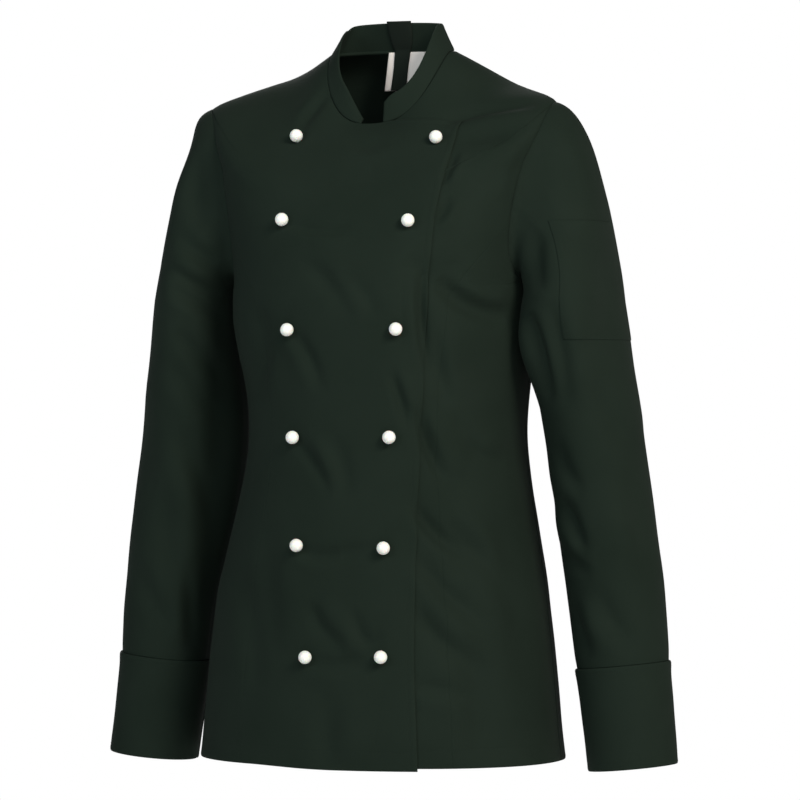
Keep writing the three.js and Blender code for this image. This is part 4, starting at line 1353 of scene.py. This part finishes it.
def floor():
    rings, sides, radius = 24, 96, 26000
    points, faces = [(0, 0, FLOOR_Z / MM)], []
    for ring in range(1, rings + 1):
        for step in range(sides):
            a = 2 * math.pi * step / sides
            r = radius * (ring / rings) ** 2
            points.append((r * math.cos(a), r * math.sin(a), FLOOR_Z / MM))
    for step in range(sides):
        faces.append((0, 1 + step, 1 + (step + 1) % sides))
    for ring in range(rings - 1):
        for step in range(sides):
            a = 1 + ring * sides + step
            b = 1 + ring * sides + (step + 1) % sides
            faces.append((a, a + sides, b + sides, b))
    piece = add_mesh("floor", np.array(points), faces)
    material, tree, shader = new_material("floor_paper")
    place = node(tree, "ShaderNodeTexCoord")
    far = node(tree, "ShaderNodeVectorMath", operation="LENGTH")
    tree.links.new(place.outputs["Object"], far.inputs[0])
    blend = node(tree, "ShaderNodeMapRange", interpolation_type="SMOOTHSTEP")
    blend.inputs["From Min"].default_value = 2
    blend.inputs["From Max"].default_value = 6
    tree.links.new(far.outputs["Value"], blend.inputs["Value"])
    grain = node(tree, "ShaderNodeTexNoise")
    grain.inputs["Scale"].default_value = 40
    shade = node(tree, "ShaderNodeMix", data_type="RGBA")
    shade.inputs["A"].default_value = (0.86, 0.86, 0.86, 1)
    shade.inputs["B"].default_value = (0.90, 0.90, 0.90, 1)
    tree.links.new(grain.outputs["Fac"], shade.inputs["Factor"])
    tree.links.new(shade.outputs["Result"], shader.inputs["Base Color"])
    shader.inputs["Roughness"].default_value = 0.9
    glow = node(tree, "ShaderNodeEmission")
    glow.inputs["Color"].default_value = WORLD_COLOUR
    glow.inputs["Strength"].default_value = WORLD_STRENGTH
    mix = node(tree, "ShaderNodeMixShader")
    tree.links.new(blend.outputs["Result"], mix.inputs["Fac"])
    tree.links.new(shader.outputs["BSDF"], mix.inputs[1])
    tree.links.new(glow.outputs["Emission"], mix.inputs[2])
    tree.links.new(mix.outputs["Shader"], tree.nodes["Material Output"].inputs["Surface"])
    piece.data.materials.append(material)


def area_light(name, place, aim, size, power, colour):
    data = bpy.data.lights.new(name, "AREA")
    data.shape = "DISK"
    data.size = size
    data.energy = power
    data.color = colour
    lamp = bpy.data.objects.new(name, data)
    lamp.location = place
    lamp.rotation_mode = "QUATERNION"
    lamp.rotation_quaternion = (Vector(aim) - Vector(place)).to_track_quat("-Z", "Y")
    bpy.context.scene.collection.objects.link(lamp)


def lights():
    world = bpy.data.worlds.new("studio")
    world.use_nodes = True
    tree = world.node_tree
    background = tree.nodes["Background"]
    background.inputs["Color"].default_value = WORLD_COLOUR
    rays = node(tree, "ShaderNodeLightPath")
    strength = node(tree, "ShaderNodeMapRange")
    strength.inputs["To Min"].default_value = WORLD_LIGHT
    strength.inputs["To Max"].default_value = WORLD_STRENGTH
    tree.links.new(rays.outputs["Is Camera Ray"], strength.inputs["Value"])
    tree.links.new(strength.outputs["Result"], background.inputs["Strength"])
    bpy.context.scene.world = world
    area_light("key", (2.5, -1.9, 1.5), (0.05, 0, -0.35), 1.5, 106, (1, 0.935, 0.81))
    area_light("fill", (-1.9, -3.3, 0.8), (0, 0, -0.35), 1.6, 33, (0.86, 1, 1))
    area_light("front", (0.75, -2.75, 1.75), (0, 0, -0.25), 1.2, 25, (0.96, 1, 1))
    area_light("back", (-1.3, 3, 1.4), (0, 0, -0.35), 1.8, 42, (1, 1, 1))
    bpy.context.scene.view_settings.view_transform = "Standard"


def camera():
    data = bpy.data.cameras.new("camera")
    data.sensor_width = SENSOR
    data.lens = SENSOR * VIEW_DISTANCE / (2 * PICTURE_HALF * PIXEL)
    data.clip_end = 100
    view = bpy.data.objects.new("camera", data)
    place = VIEW_RIGHT * VIEW_CENTRE_RIGHT + VIEW_BACK * VIEW_DISTANCE + np.array([0, 0, VIEW_CENTRE_Z])
    view.location = Vector(place * MM)
    view.rotation_mode = "QUATERNION"
    view.rotation_quaternion = Vector(-VIEW_BACK).to_track_quat("-Z", "Y")
    bpy.context.scene.collection.objects.link(view)
    bpy.context.scene.camera = view


camera()
lights()
floor()
fronts()
side_fronts()
back()
collar()
hanger_loop()
label()
sleeves()
cuffs()
pen_pocket()
studs()
